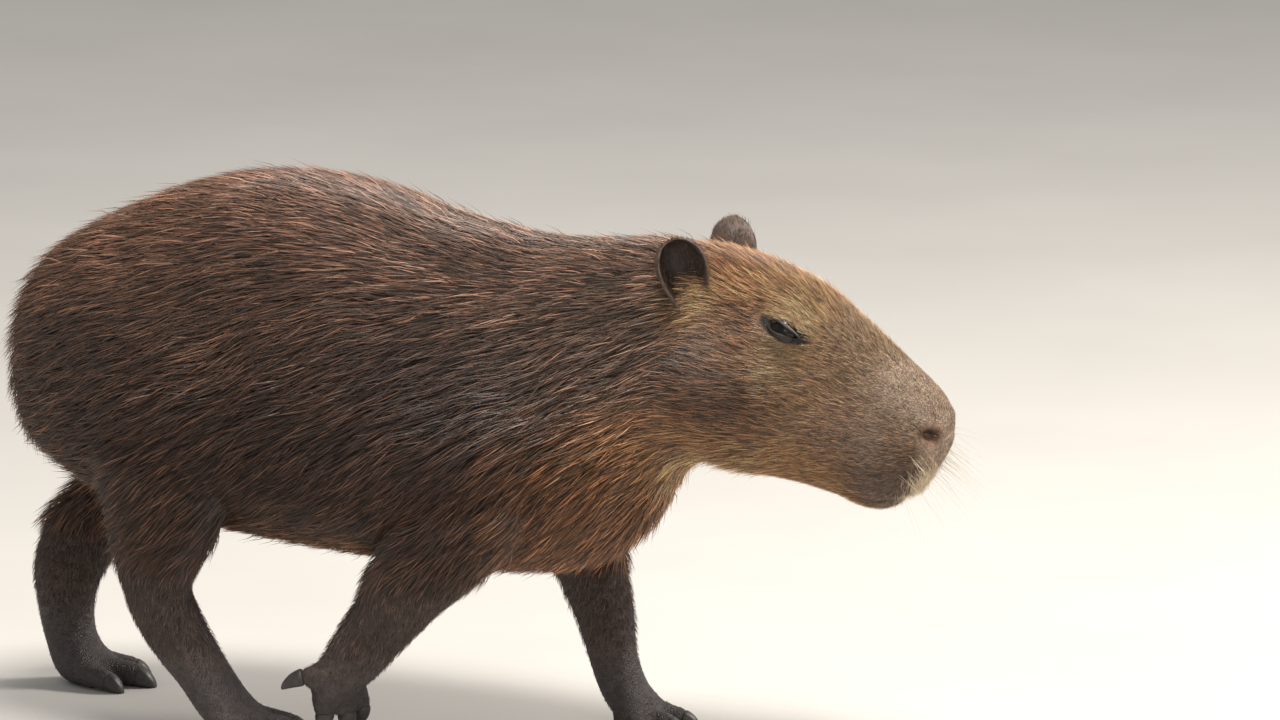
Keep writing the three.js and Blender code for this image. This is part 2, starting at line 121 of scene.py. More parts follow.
# Limbs: [x, y outwards, z, front half, back half, side half], and the toes from ball to claw.
LIMBS = {
    "right_hind": {
        "side": -1,
        "path": [
            [-262, 66, 300, 62, 62, 44],
            [-258, 82, 238, 66, 66, 42],
            [-260, 88, 190, 55, 57, 35],
            [-267, 88, 150, 40, 44, 28],
            [-268, 86, 118, 31, 34, 22],
            [-252, 85, 86, 25, 30, 20],
            [-232, 84, 55, 22, 22, 22],
            [-214, 84, 30, 20, 19, 27],
            [-198, 84, 16, 17, 17, 31],
            [-184, 84, 12, 13, 14, 28],
        ],
        "toes": [
            [[-198, 62, 14], [-162, 54, 8.5], 11, 15],
            [[-196, 84, 15], [-152, 84, 9.5], 12.5, 17],
            [[-202, 106, 14], [-166, 116, 9], 11.5, 15],
        ],
    },
    "left_hind": {
        "side": 1,
        "path": [
            [-268, 66, 300, 62, 62, 44],
            [-278, 82, 240, 62, 70, 42],
            [-316, 88, 196, 46, 58, 34],
            [-364, 86, 160, 34, 46, 27],
            [-406, 82, 134, 36, 38, 23],
            [-427, 79, 104, 36, 32, 21],
            [-428, 77, 70, 25, 27, 19],
            [-423, 76, 40, 20, 23, 21],
            [-412, 76, 21, 17, 24, 27],
            [-394, 76, 12, 11, 13, 28],
        ],
        "toes": [
            [[-410, 55, 14], [-374, 46, 8.5], 10.5, 14],
            [[-408, 76, 15], [-361, 76, 9], 12, 16],
            [[-412, 97, 14], [-378, 108, 8.5], 11, 14],
        ],
    },
    "right_fore": {
        "side": -1,
        "path": [
            [34, 52, 268, 52, 52, 36],
            [14, 68, 222, 54, 54, 36],
            [-18, 78, 177, 48, 48, 31],
            [-54, 83, 128, 36, 37, 24],
            [-72, 83, 103, 29, 31, 21],
            [-92, 83, 77, 24, 27, 20],
            [-109, 82, 59, 21, 20, 24],
            [-113, 81, 48, 19, 18, 26],
            [-113, 80, 38, 14, 13, 22],
        ],
        "toes": [
            [[-106, 60, 48], [-101, 55, 27], 10, 14],
            [[-111, 74, 44], [-106, 73, 25], 10.5, 15],
            [[-120, 90, 46], [-118, 91, 27], 10.5, 15],
            [[-114, 98, 64], [-134, 104, 60], 9.5, 18],
        ],
    },
    "left_fore": {
        "side": 1,
        "path": [
            [48, 52, 268, 52, 52, 36],
            [44, 66, 222, 52, 52, 36],
            [40, 74, 178, 44, 44, 30],
            [50, 76, 132, 34, 35, 24],
            [62, 76, 94, 26, 27, 20],
            [69, 76, 60, 20, 21, 19],
            [78, 76, 34, 18, 18, 23],
            [92, 76, 18, 14, 16, 29],
            [106, 76, 11, 11, 12, 27],
        ],
        "toes": [
            [[86, 53, 13], [108, 43, 7], 9.5, 13],
            [[92, 68, 14], [126, 63, 7.5], 10.5, 15],
            [[92, 86, 14], [127, 90, 7.5], 10.5, 15],
            [[84, 100, 13], [108, 111, 7], 9.5, 13],
        ],
    },
}

# The ears: a curled sheet from its root up, [height, curl radius, half span in radians].
EAR = {
    "root": [1, 50, 42],
    "tip": [-28, 67, 85],
    "faces": [0.55, 0.8, 0.2],
    "thick": 3.2,
    "sections": [
        [-0.12, 12, 1.9],
        [0.12, 15, 2.0],
        [0.35, 19, 2.0],
        [0.6, 21, 1.95],
        [0.8, 18.5, 1.8],
        [0.93, 13, 1.6],
        [1, 7, 1.3],
    ],
}

# The coat's zones: place, reach, colour of the tips, hair length and lift in degrees. Places
# with y at least 0 stand for both sides. Head places are along, out and up in the head's frame.
# The tip colours hold painted light: back, loin, withers, nape and rump top are painted lighter
# as a painted highlight of light from above; the flanks, haunch, thigh, shoulder and upper arm
# are painted darker as painted shade; the throat's pale fringe is partly a painted rim light.
BODY_ZONES = {
    "rump top": [(-390, 30, 380), 70, (0.19, 0.100, 0.062), 34, 20],
    "rump": [(-405, 60, 300), 55, (0.13, 0.068, 0.042), 36, 18],
    "rump low": [(-395, 60, 235), 55, (0.15, 0.075, 0.042), 34, 20],
    "under the rump": [(-370, 15, 205), 45, (0.24, 0.130, 0.070), 26, 24],
    "loin": [(-260, 40, 440), 80, (0.27, 0.145, 0.092), 34, 15],
    "back": [(-130, 30, 455), 80, (0.30, 0.170, 0.120), 32, 14],
    "withers": [(10, 30, 425), 75, (0.24, 0.140, 0.098), 32, 15],
    "nape": [(120, 25, 425), 50, (0.28, 0.170, 0.120), 26, 20],
    "high flank": [(-180, 120, 375), 80, (0.14, 0.074, 0.048), 34, 13],
    "flank": [(-180, 133, 290), 80, (0.078, 0.043, 0.030), 34, 12],
    "low flank": [(-170, 110, 205), 60, (0.088, 0.045, 0.026), 30, 13],
    "belly": [(-150, 20, 150), 55, (0.30, 0.150, 0.075), 20, 24],
    "haunch": [(-290, 125, 280), 70, (0.084, 0.044, 0.029), 32, 12],
    "thigh": [(-270, 110, 190), 50, (0.120, 0.064, 0.040), 22, 12],
    "shoulder": [(0, 110, 290), 65, (0.080, 0.046, 0.034), 32, 12],
    "upper arm": [(-10, 100, 200), 50, (0.100, 0.053, 0.035), 24, 12],
    "chest side": [(80, 80, 215), 55, (0.20, 0.095, 0.045), 28, 14],
    "chest": [(122, 20, 195), 50, (0.32, 0.150, 0.068), 24, 22],
    "brisket": [(60, 30, 148), 50, (0.32, 0.155, 0.075), 22, 24],
    "neck side": [(120, 78, 340), 60, (0.17, 0.105, 0.075), 28, 14],
    "neck low": [(140, 60, 258), 45, (0.40, 0.190, 0.080), 24, 18],
    "throat": [(185, 20, 238), 45, (0.72, 0.430, 0.230), 24, 30],
}
# Crown, forehead, brow and ear root are painted lighter: partly the coat's own golden tone, partly a
# painted highlight of light from above.
HEAD_ZONES = {
    "crown": [(15, 25, 92), 38, (0.50, 0.245, 0.115), 15, 22],
    "forehead": [(80, 25, 94), 35, (0.53, 0.295, 0.145), 13, 22],
    "brow": [(88, 48, 74), 17, (0.78, 0.520, 0.280), 8, 15],
    "ear root": [(8, 60, 55), 24, (0.55, 0.320, 0.160), 14, 22],
    "temple": [(45, 66, 30), 28, (0.33, 0.185, 0.105), 14, 15],
    "cheek": [(45, 68, -22), 38, (0.17, 0.090, 0.052), 18, 14],
    "under the eye": [(92, 60, 30), 20, (0.46, 0.300, 0.170), 10, 14],
    "jaw": [(60, 45, -75), 38, (0.44, 0.215, 0.088), 15, 17],
    "mid face": [(125, 52, 15), 27, (0.36, 0.215, 0.118), 11, 15],
    "chin": [(150, 25, -58), 34, (0.46, 0.240, 0.105), 9, 16],
    "bridge": [(140, 15, 80), 28, (0.45, 0.295, 0.175), 8, 26],
    "muzzle top": [(188, 20, 62), 28, (0.37, 0.270, 0.195), 4, 20],
    "muzzle side": [(168, 44, 0), 30, (0.30, 0.185, 0.112), 9, 17],
    "lip": [(205, 38, -25), 20, (0.20, 0.135, 0.095), 6, 20],
    "nose": [(229, 8, 18), 15, (0.36, 0.260, 0.190), 3, 18],
}
COAT_DEPTH = {"trunk": 8.5, "limb": 5.0}
HEAD_DEPTH = [[-46, 8], [40, 6], [110, 4], [160, 2.5], [200, 1.2], [230, 0.6]]
LEG_COLOUR = np.array([0.105, 0.066, 0.050])
FOOT_COLOUR = np.array([0.050, 0.039, 0.038])
NOSTRIL_RING = np.array([0.30, 0.14, 0.07])
# Near black: the lids and eyes, and the painted shade in the nostrils and along the mouth's line.
NEAR_BLACK = np.array([0.012, 0.009, 0.008])
IRIS_BROWN = np.array([0.018, 0.008, 0.004])
EYE_EDGE_GREY = 0.012
LIMB_SQUARE = 2.2
LEG_HAIR = {"knee": 8.5, "foot": 3.0}  # lengths on the lower legs

# Strands: how far lengths, lifts, shades and warmth spread, the share that are dark and the
# factors of dark, plain and pale ones, the pale ones partly pale tips and partly painted glints
# of highlight, the strays that stand out further, how dark roots are, and the length from which
# strands are full width, with the least share of it.
STRANDS = {
    "lengths": (0.7, 1.2),
    "lifts": (0.5, 1.5),
    "shade_spread": (0.75, 1.25),
    "warmth": (-0.10, 0.20),
    "dark": 0.36,
    "shades": (0.24, 0.85, 2.2),
    "stray": 0.05,
    "stray_lift": 1.8,
    "root_shade": 0.30,
    "full_width_at": 30,
    "widths": (0.32, 1.05),
}
SWAY = [[60.0, 0.2], [14.0, 0.2]]  # waves in the lie: wavelength and height in radians
SWAY_JITTER = 0.12  # from one strand to the next
SHADE_WAVES = [[60.0, 0.22], [17.0, 0.14]]  # slow patches: wavelength and share
MAP_SPAN = 0.99  # how much of the bake map the coat takes up each way

# A lid's section from the slit out and back: [share of the way to its edge, lift off the ball].
LID_PROFILE = np.array([
    [0, 0.2], [0, 1.0], [0.06, 1.9], [0.2, 2.5], [0.4, 2.5], [0.6, 2.1], [0.8, 1.5],
    [1.0, 0.6], [1.0, 0], [0.8, 0], [0.6, 0], [0.4, 0], [0.2, 0], [0.06, 0],
])
LID_OPENING = {"half_length": 1.16, "above": 0.13, "below": 0.33}  # radians round the ball

# Where each of a tuft's points lies in its patch of the bake map, by how many points it has
PATCH_CORNERS = {
    4: np.array([[0, 0], [0, 1], [0, 0.5], [1, 0.5]]),
    7: np.array([[0, 0], [0, 1], [0, 0.5], [0.5, 0], [0.5, 1], [0.5, 0.5], [1, 0.5]]),
}

# The lights: place, size, power and colour, all aimed at the middle of the body
LIGHTS = {
    "key": [(0.5, -0.7, 3.4), 1.1, 120, (1.0, 0.95, 0.88)],
    "rim": [(2.0, 1.8, 2.4), 1.0, 95, (1.0, 0.94, 0.86)],
    "front": [(2.2, -3.0, 1.5), 1.8, 22, (1.0, 0.98, 0.95)],
}
LIGHT_AIM = (0.0, 0.0, 0.25)
CAMERA_AIM = np.array([123.0, 0.0, 323.0])
FLOOR_EDGE = 14000.0
SKY = {"colour": (1.0, 0.98, 0.96, 1), "strength": 0.42}


class CoatSettings(bpy.types.PropertyGroup):
    """Sizes of the coat and of the skin under it"""

    voxel: bpy.props.FloatProperty(
        name="Skin grid", description="Cell the skin is fused with", default=0.004, unit="LENGTH"
    )
    body_tufts: bpy.props.IntProperty(
        name="Body tufts", description="Tufts on trunk and neck", default=100000
    )
    leg_tufts: bpy.props.IntProperty(
        name="Leg tufts", description="Tufts below the trunk", default=14000
    )
    head_tufts: bpy.props.IntProperty(
        name="Head tufts", description="Short tufts on the head", default=84000
    )
    ear_tufts: bpy.props.IntProperty(
        name="Ear tufts", description="Short hairs on each ear", default=2600
    )
    long_whiskers: bpy.props.IntProperty(
        name="Long whiskers", description="On both sides of the muzzle", default=70
    )
    lip_bristles: bpy.props.IntProperty(
        name="Lip bristles", description="Short pale bristles round the lips", default=1500
    )
    strand_width: bpy.props.FloatProperty(
        name="Strand width", description="Of the longest tufts", default=0.0012, unit="LENGTH"
    )
    whisker_length: bpy.props.FloatProperty(
        name="Whiskers", description="Longest whisker", default=0.05, unit="LENGTH"
    )
    seed: bpy.props.IntProperty(name="Seed", description="Start of the random draws", default=7)


def colour_property(name, description, default):
    return bpy.props.FloatVectorProperty(
        name=name, description=description, subtype="COLOR", size=3, default=default
    )


class ColourSettings(bpy.types.PropertyGroup):
    """Colours of the small bare pieces"""

    ear_back: colour_property("Ear back", "Outer side of the ears", (0.085, 0.055, 0.042))
    ear_cup: colour_property("Ear cup", "Inside the ears", (0.026, 0.016, 0.013))
    ear_fuzz: colour_property("Ear fuzz", "Short hair on the ears", (0.17, 0.105, 0.066))
    claw: colour_property("Claws", "Dark horn", (0.040, 0.034, 0.032))
    whisker: colour_property("Whiskers", "Whiskers and lip bristles", (0.74, 0.60, 0.42))


class StageSettings(bpy.types.PropertyGroup):
    """Camera, floor and light"""

    azimuth: bpy.props.FloatProperty(
        name="Azimuth", description="Turn towards the nose", default=np.radians(22), unit="ROTATION"
    )
    elevation: bpy.props.FloatProperty(
        name="Elevation", description="Above the horizon", default=np.radians(10), unit="ROTATION"
    )
    distance: bpy.props.FloatProperty(
        name="Distance", description="Camera to animal", default=9.0, unit="LENGTH"
    )
    lens: bpy.props.FloatProperty(
        name="Lens", description="Focal length on a 36 mm sensor", default=311.3
    )
    floor_colour: colour_property("Floor", "Pale floor", (0.60, 0.585, 0.56))


def head_to_body(points):
    """Head frame to body frame: a turn about Y by the head's pitch, then its own origin."""
    c, s = np.cos(HEAD_PITCH), np.sin(HEAD_PITCH)
    along, out, up = np.moveaxis(np.asarray(points, float), -1, 0)
    return np.stack([along * c + up * s, out, up * c - along * s], -1) + HEAD_BACK


def body_to_head(points):
    """Body frame to head frame, the turn above undone."""
    c, s = np.cos(HEAD_PITCH), np.sin(HEAD_PITCH)
    x, y, z = np.moveaxis(np.asarray(points, float) - HEAD_BACK, -1, 0)
    return np.stack([x * c - z * s, y, x * s + z * c], -1)


def model_shift():
    """Where the solid model has its origin: the solid eye's middle less the modelled one."""
    solid = (np.array(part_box("right_eye")[0]) + np.array(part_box("right_eye")[1])) / 2 / MM
    return solid - head_to_body([EYE["along"], -EYE["out"], EYE["up"]])


SHIFT = model_shift()


def bell(in_head, at, reach):
    """exp of minus the squared distance from a place on either side of the head, over its reach."""
    place = in_head * [1, 0, 1] + np.abs(in_head * [0, 1, 0])
    return np.exp(-np.sum(((place - at) / reach) ** 2, -1))


def mouth_gap(in_head):
    """How far each point is from the line of the closed mouth, seen from the side."""
    line = drawn_through(MOUTH, 8)
    away = np.hypot(in_head[:, 0, None] - line[:, 0], in_head[:, 2, None] - line[:, 1])
    return np.min(away, axis=1)


def eye_oval(in_head, half_length, half_height):
    """1 on an oval round the slit of the eye and less inside: an ellipse that slants a little."""
    along, up = in_head[:, 0] - EYE["along"], in_head[:, 2] - EYE["up"]
    return np.hypot((along + 1) / half_length, (up - 1 + 0.05 * along) / half_height)


def smooth(low, high, x):
    """0 below low, 1 above high, an S curve between, either way round."""
    t = np.clip((np.asarray(x, float) - low) / (high - low), 0, 1)
    return t * t * (3 - 2 * t)


def unit(v):
    """Vectors scaled to length 1."""
    return v / np.maximum(np.linalg.norm(v, axis=-1, keepdims=True), 1e-9)


def drawn_through(rows, steps):
    """A Catmull-Rom curve through the rows, steps rows to each span."""
    p = np.asarray(rows, float)
    p = np.vstack([2 * p[0] - p[1], p, 2 * p[-1] - p[-2]])
    spans = len(rows) - 1
    t = np.linspace(0, spans, spans * steps + 1)
    i = np.minimum(t.astype(int), spans - 1)
    f = (t - i)[:, None]
    before, start, end, after = p[i], p[i + 1], p[i + 2], p[i + 3]
    leave, arrive = (end - before) / 2, (after - start) / 2
    return (
        (2 * f**3 - 3 * f**2 + 1) * start
        + (f**3 - 2 * f**2 + f) * leave
        + (3 * f**2 - 2 * f**3) * end
        + (f**3 - f**2) * arrive
    )


def sections(centres, side, up, wide, rise, drop, square, count):
    """Rounded squares: across is cos^(2/n) times wide, up is sin^(2/n) times rise or drop."""
    angle = 2 * np.pi * np.arange(count) / count
    c, s = np.cos(angle), np.sin(angle)
    power = 2 / np.broadcast_to(square, len(centres))[:, None]
    across = np.sign(c) * np.abs(c) ** power * np.asarray(wide)[:, None]
    reach = np.where(s > 0, np.asarray(rise)[:, None], np.asarray(drop)[:, None])
    height = np.sign(s) * np.abs(s) ** power * reach
    return centres[:, None] + across[..., None] * side[:, None] + height[..., None] * up[:, None]


def tube_faces(rings, count):
    """Quads between neighbouring rings of count points, wrapping round."""
    r, k = np.meshgrid(np.arange(rings - 1), np.arange(count), indexing="ij")
    n = (k + 1) % count
    quads = np.stack([r * count + k, r * count + n, (r + 1) * count + n, (r + 1) * count + k], -1)
    return quads.reshape(-1, 4)


def closed_tube(rings):
    """Rings skinned into a closed surface, each end fanned to its middle: points, quads, tris."""
    r, count = rings.shape[:2]
    points = np.vstack([rings.reshape(-1, 3), rings[0].mean(0)[None], rings[-1].mean(0)[None]])
    k = np.arange(count)
    n = (k + 1) % count
    first, last = np.full(count, r * count), np.full(count, r * count + 1)
    tris = np.vstack(
        [np.stack([first, n, k], -1), np.stack([last, (r - 1) * count + k, (r - 1) * count + n], -1)]
    )
    return faced_out(points, tube_faces(r, count), tris)


def as_triangles(quads, tris):
    """Each quad as two triangles, then the triangles."""
    return np.vstack([quads[:, [0, 1, 2]], quads[:, [0, 2, 3]], tris])


def faced_out(points, quads, tris):
    """Turns every face round when the enclosed volume comes out negative."""
    a, b, c = points[as_triangles(quads, tris)].transpose(1, 0, 2)
    if np.einsum("ij,ij->", a, np.cross(b, c)) < 0:
        quads, tris = quads[:, ::-1], tris[:, ::-1]
    return points, quads, tris


def joined(parts):
    """Several surfaces as one set of points and faces."""
    starts = np.cumsum([0] + [len(points) for points, _, _ in parts])
    return (
        np.vstack([points for points, _, _ in parts]),
        np.vstack([quads + start for (_, quads, _), start in zip(parts, starts)]),
        np.vstack([tris + start for (_, _, tris), start in zip(parts, starts)]),
    )


def put_mesh(name, points, *face_sets):
    """A Blender mesh object from points in millimetres and arrays of faces."""
    mesh = bpy.data.meshes.new(name)
    faces = [f for f in face_sets if len(f)]
    corners = np.concatenate([f.ravel() for f in faces]).astype(np.int32)
    sizes = np.concatenate([np.full(len(f), f.shape[1]) for f in faces])
    starts = np.concatenate([[0], np.cumsum(sizes)[:-1]]).astype(np.int32)
    mesh.vertices.add(len(points))
    mesh.vertices.foreach_set("co", ((points + SHIFT) * MM).astype(np.float32).ravel())
    mesh.loops.add(len(corners))
    mesh.loops.foreach_set("vertex_index", corners)
    mesh.polygons.add(len(starts))
    mesh.polygons.foreach_set("loop_start", starts)
    mesh.update(calc_edges=True)
    mesh.polygons.foreach_set("use_smooth", np.ones(len(starts), bool))
    obj = bpy.data.objects.new(name, mesh)
    bpy.context.scene.collection.objects.link(obj)
    return obj


def dress(obj, material, replaced=(), colours=None):
    """Material, colour attribute and the frame's words for a finished piece."""
    if colours is not None:
        attribute = obj.data.color_attributes.new("hide", "FLOAT_COLOR", "POINT")
        rgba = np.ones((len(colours), 4), np.float32)
        rgba[:, :3] = colours
        attribute.data.foreach_set("color", rgba.ravel())
    obj.data.materials.clear()
    obj.data.materials.append(material)
    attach(obj, "root")
    if replaced:
        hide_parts(*replaced)
    return obj


class Link:
    """A node's output that takes part in arithmetic, each sign adding its own Math node."""

    def __init__(self, shader, socket):
        self.shader, self.socket = shader, socket

    def _math(self, operation, *values):
        return self.shader.node("ShaderNodeMath", {"operation": operation}, *values)

    def __add__(self, other):
        return self._math("ADD", self, other)

    def __sub__(self, other):
        return self._math("SUBTRACT", self, other)

    def __rsub__(self, other):
        return self._math("SUBTRACT", other, self)

    def __mul__(self, other):
        return self._math("MULTIPLY", self, other)

    __radd__, __rmul__ = __add__, __mul__


class Shader:
    """A material's nodes: node() adds one of a type with its settings, then fills its inputs."""

    def __init__(self, name):
        self.material = bpy.data.materials.new(name)
        self.material.use_nodes = True
        self.tree = self.material.node_tree
        self.surface = self.tree.nodes["Principled BSDF"]

    def node(self, kind, settings=None, *values, output=0, **named):
        made = self.tree.nodes.new(kind)
        for key, value in (settings or {}).items():
            setattr(made, key, value)
        for index, value in enumerate(values):
            self.fill(made.inputs[index], value)
        for key, value in named.items():
            self.fill(made.inputs[key.replace("_", " ")], value)
        return Link(self, made.outputs[output])

    def fill(self, socket, value):
        if isinstance(value, Link):
            self.tree.links.new(value.socket, socket)
        else:
            socket.default_value = value

    def set(self, **inputs):
        for key, value in inputs.items():
            self.fill(self.surface.inputs[key.replace("_", " ")], value)

    def place(self):
        return self.node("ShaderNodeTexCoord", output=3)

    def noise(self, scale, detail=3.0, roughness=0.55):
        return self.node(
            "ShaderNodeTexNoise", None, Vector=self.place(), Scale=scale, Detail=detail,
            Roughness=roughness,
        )

    def tinted(self, colour, low, high, mask):
        """A colour scaled between two greys by a mask."""
        grey = self.node("ShaderNodeMapRange", None, mask, 0.3, 0.7, low, high)
        spread = self.node("ShaderNodeCombineXYZ", None, grey, grey, grey)
        return self.node("ShaderNodeVectorMath", {"operation": "MULTIPLY"}, colour, spread)

    def bump(self, height, distance, strength=1.0):
        return self.node(
            "ShaderNodeBump", None, Height=height, Distance=distance, Strength=strength
        )


def hide_material():
    """Skin: the painted hide, mottled, with fine creases that only bare feet and nose show."""
    shader = Shader("hide")
    paint = shader.node("ShaderNodeAttribute", {"attribute_name": "hide"})
    mottle = shader.noise(140.0)
    creases = shader.node(
        "ShaderNodeTexVoronoi", {"feature": "DISTANCE_TO_EDGE"}, Vector=shader.place(), Scale=420.0
    )
    shader.set(
        Base_Color=shader.tinted(paint, 0.7, 1.35, mottle),
        Roughness=shader.noise(60.0) * 0.3 + 0.45,
        Normal=shader.bump(creases * 3.0 + shader.noise(700.0) * 0.6, 0.0005),
    )
    return shader.material


def strand_material():
    """Hair: each tuft's own colour, lightly streaked, with the gloss of coarse bristle."""
    shader = Shader("strand")
    paint = shader.node("ShaderNodeAttribute", {"attribute_name": "hide"})
    shader.set(
        Base_Color=shader.tinted(paint, 0.8, 1.25, shader.noise(900.0, 2.0)),
        Roughness=shader.noise(300.0, 2.0) * 0.25 + 0.36,
    )
    shader.surface.inputs["Specular IOR Level"].default_value = 0.55
    return shader.material


def whisker_material(colour):
    """Pale stiff hair, a little uneven along the muzzle."""
    shader = Shader("whisker")
    cream = shader.node("ShaderNodeCombineXYZ", None, *colour)
    shader.set(
        Base_Color=shader.tinted(cream, 0.7, 1.2, shader.noise(150.0)),
        Roughness=shader.noise(200.0) * 0.2 + 0.35,
    )
    return shader.material


def eye_material():
    """Wet and near black, so that it takes a clear highlight."""
    shader = Shader("eye")
    paint = shader.node("ShaderNodeAttribute", {"attribute_name": "hide"})
    shader.set(Base_Color=shader.tinted(paint, 0.7, 1.3, shader.noise(900.0)))
    shader.surface.inputs["Roughness"].default_value = 0.16
    shader.surface.inputs["Specular IOR Level"].default_value = 0.3
    return shader.material


def ear_material():
    """Bare leathery skin with a soft grain."""
    shader = Shader("ear skin")
    paint = shader.node("ShaderNodeAttribute", {"attribute_name": "hide"})
    shader.set(
        Base_Color=shader.tinted(paint, 0.65, 1.4, shader.noise(180.0)),
        Roughness=shader.noise(90.0) * 0.3 + 0.4,
        Normal=shader.bump(shader.noise(260.0), 0.0006),
    )
    return shader.material


def claw_material():
    """Horn: dark, with a fine grain of noise in its colour and bump."""
    shader = Shader("horn")
    paint = shader.node("ShaderNodeAttribute", {"attribute_name": "hide"})
    shader.set(
        Base_Color=shader.tinted(paint, 0.7, 1.5, shader.noise(240.0)),
        Roughness=shader.noise(150.0) * 0.3 + 0.3,
        Normal=shader.bump(shader.noise(500.0), 0.0003),
    )
    return shader.material


def head_depth(along):
    """How far the skin lies inside the outline, straight between the named places."""
    return np.interp(along, *np.array(HEAD_DEPTH, float).T)


def trunk_surface(depth):
    """The trunk: sections through the named stations, pushed out sideways where muscle lies."""
    x, top, low, wide = drawn_through(TRUNK, 6).T
    half = (top - low) / 2 - depth
    x = x + depth * (1 - smooth(-423, -395, x))
    centres = np.stack([x, 0 * x, (top + low) / 2], -1)
    side, up = np.tile([0.0, 1, 0], (len(x), 1)), np.tile([0.0, 0, 1], (len(x), 1))
    rings = sections(centres, side, up, wide - depth, half, half, TRUNK_SQUARE, 96)
    outward = np.abs(rings[..., 1]) / wide[:, None]
    push = sum(
        h * np.exp(-(((rings[..., 0] - mx) / a) ** 2) - ((rings[..., 2] - mz) / b) ** 2)
        for mx, mz, a, b, h in MUSCLES
    )
    rings[..., 1] += np.sign(rings[..., 1]) * push * outward**2
    return closed_tube(rings)


def head_surface():
    """The head: sections along its own axis, with cheeks, brow and lip pads pushed out."""
    along, top, low, wide, square = drawn_through(HEAD, 6).T
    depth = head_depth(along)
    half = (top - low) / 2 - depth
    centres = np.stack([along, 0 * along, (top + low) / 2], -1)
    side, up = np.tile([0.0, 1, 0], (len(along), 1)), np.tile([0.0, 0, 1], (len(along), 1))
    rings = sections(centres, side, up, wide - depth, half, half, square, 96)
    push = sum(
        h * np.exp(-((rings[..., 0] - a) ** 2 + (rings[..., 2] - u) ** 2) / reach**2)
        for a, u, reach, h in HEAD_FORMS
    )
    rings[..., 1] += np.sign(rings[..., 1]) * push * np.abs(rings[..., 1]) / wide[:, None]
    return closed_tube(head_to_body(rings))


def limb_surface(limb):
    """A limb: sections square to its path, thinner by the coat's depth above the foot."""
    x, y, z, front, back, wide = drawn_through(limb["path"], 6).T
    centres = np.stack([x, limb["side"] * y, z], -1)
    along = unit(np.gradient(centres, axis=0))
    forward = unit(np.cross(along, [0, 1, 0]))
    sideways = unit(np.cross(along, forward))
    depth = COAT_DEPTH["limb"] * smooth(60, 170, z)
    rings = sections(
        centres, sideways, forward, wide - depth, front - depth, back - depth, LIMB_SQUARE, 40
    )
    return closed_tube(rings)


def toe_frame(toe, side):
    """Start, direction, sideways, up and length of a toe's line."""
    start, end = (np.array(p, float) * [1, side, 1] for p in toe[:2])
    along = unit(end - start)
    level = abs(along[2]) < 0.8
    sideways = unit(np.cross([0, 0, 1], along)) if level else np.array([0.0, 1, 0])
    return start, along, sideways, unit(np.cross(along, sideways)), np.linalg.norm(end - start)


def toe_part(toe, side, rows, count=20):
    """A toe or claw: [how far, half width, half height, sink] carried along the toe's line."""
    start, along, sideways, up, _ = toe_frame(toe, side)
    far, wide, high, sink = drawn_through(rows, 4).T
    centres = start + far[:, None] * along - sink[:, None] * up
    tile = np.ones((len(far), 1))
    rings = sections(centres, tile * sideways, tile * up, wide, high, high, LIMB_SQUARE, count)
    rings[..., 2] = np.maximum(rings[..., 2], 0)
    return closed_tube(rings)


def toe_surface(toe, side):
    """A toe: sunk root, knuckle, waist, pad and the end that the claw caps."""
    half, length = toe[2], toe_frame(toe, side)[4]
    rows = [
        [-6, half * 0.8, half * 0.8, 0],
        [length * 0.3, half, half, 0],
        [length * 0.65, half * 0.86, half * 0.9, 0],
        [length * 0.85, half * 0.92, half * 0.92, 0],
        [length + 1.5, half * 0.72, half * 0.74, 0.5],
    ]
    return toe_part(toe, side, rows)


def claw_surface(toe, side):
    """A blunt claw that starts under the skin, tapers and curves down."""
    half, claw, length = toe[2], toe[3], toe_frame(toe, side)[4]
    rows = [
        [length - 2, half * 0.66, half * 0.68, 0.3],
        [length + 0.3, half * 0.74, half * 0.76, 0.5],
        [length + claw * 0.45, half * 0.62, half * 0.62, 1.8],
        [length + claw * 0.8, half * 0.42, half * 0.38, 4.2],
        [length + claw * 0.97, half * 0.2, half * 0.16, 6.2],
    ]
    return toe_part(toe, side, rows)


def fused(parts, voxel):
    """One closed skin mesh round many closed surfaces, by voxels."""
    obj = put_mesh("raw skin", *joined(parts))
    remesh = obj.modifiers.new("fuse", "REMESH")
    remesh.mode, remesh.voxel_size = "VOXEL", voxel
    depsgraph = bpy.context.evaluated_depsgraph_get()
    mesh = bpy.data.meshes.new_from_object(obj.evaluated_get(depsgraph))
    bpy.data.objects.remove(obj)
    return mesh


def mesh_points(mesh):
    """A mesh's points in millimetres in the animal's own frame."""
    points = np.empty(len(mesh.vertices) * 3, np.float32)
    mesh.vertices.foreach_get("co", points)
    return points.reshape(-1, 3).astype(float) / MM - SHIFT


def mesh_normals(mesh):
    """The outward directions at a mesh's points."""
    normals = np.empty(len(mesh.vertices) * 3, np.float32)
    mesh.vertices.foreach_get("normal", normals)
    return unit(normals.reshape(-1, 3).astype(float))


def set_points(mesh, points):
    """Puts points in millimetres back into a mesh."""
    mesh.vertices.foreach_set("co", ((points + SHIFT) * MM).astype(np.float32).ravel())
    mesh.update()


def eased(mesh, points, rounds, hold):
    """Each point moves towards the mean of its neighbours, by hold where that is under 1."""
    edges = np.empty(len(mesh.edges) * 2, np.int32)
    mesh.edges.foreach_get("vertices", edges)
    a, b = edges.reshape(-1, 2).T
    count = np.bincount(a, minlength=len(points)) + np.bincount(b, minlength=len(points))
    for _ in range(rounds):
        total = np.stack(
            [
                np.bincount(a, points[b, i], len(points)) + np.bincount(b, points[a, i], len(points))
                for i in range(3)
            ],
            -1,
        )
        points = points + (total / count[:, None] - points) * 0.5 * hold[:, None]
    return points


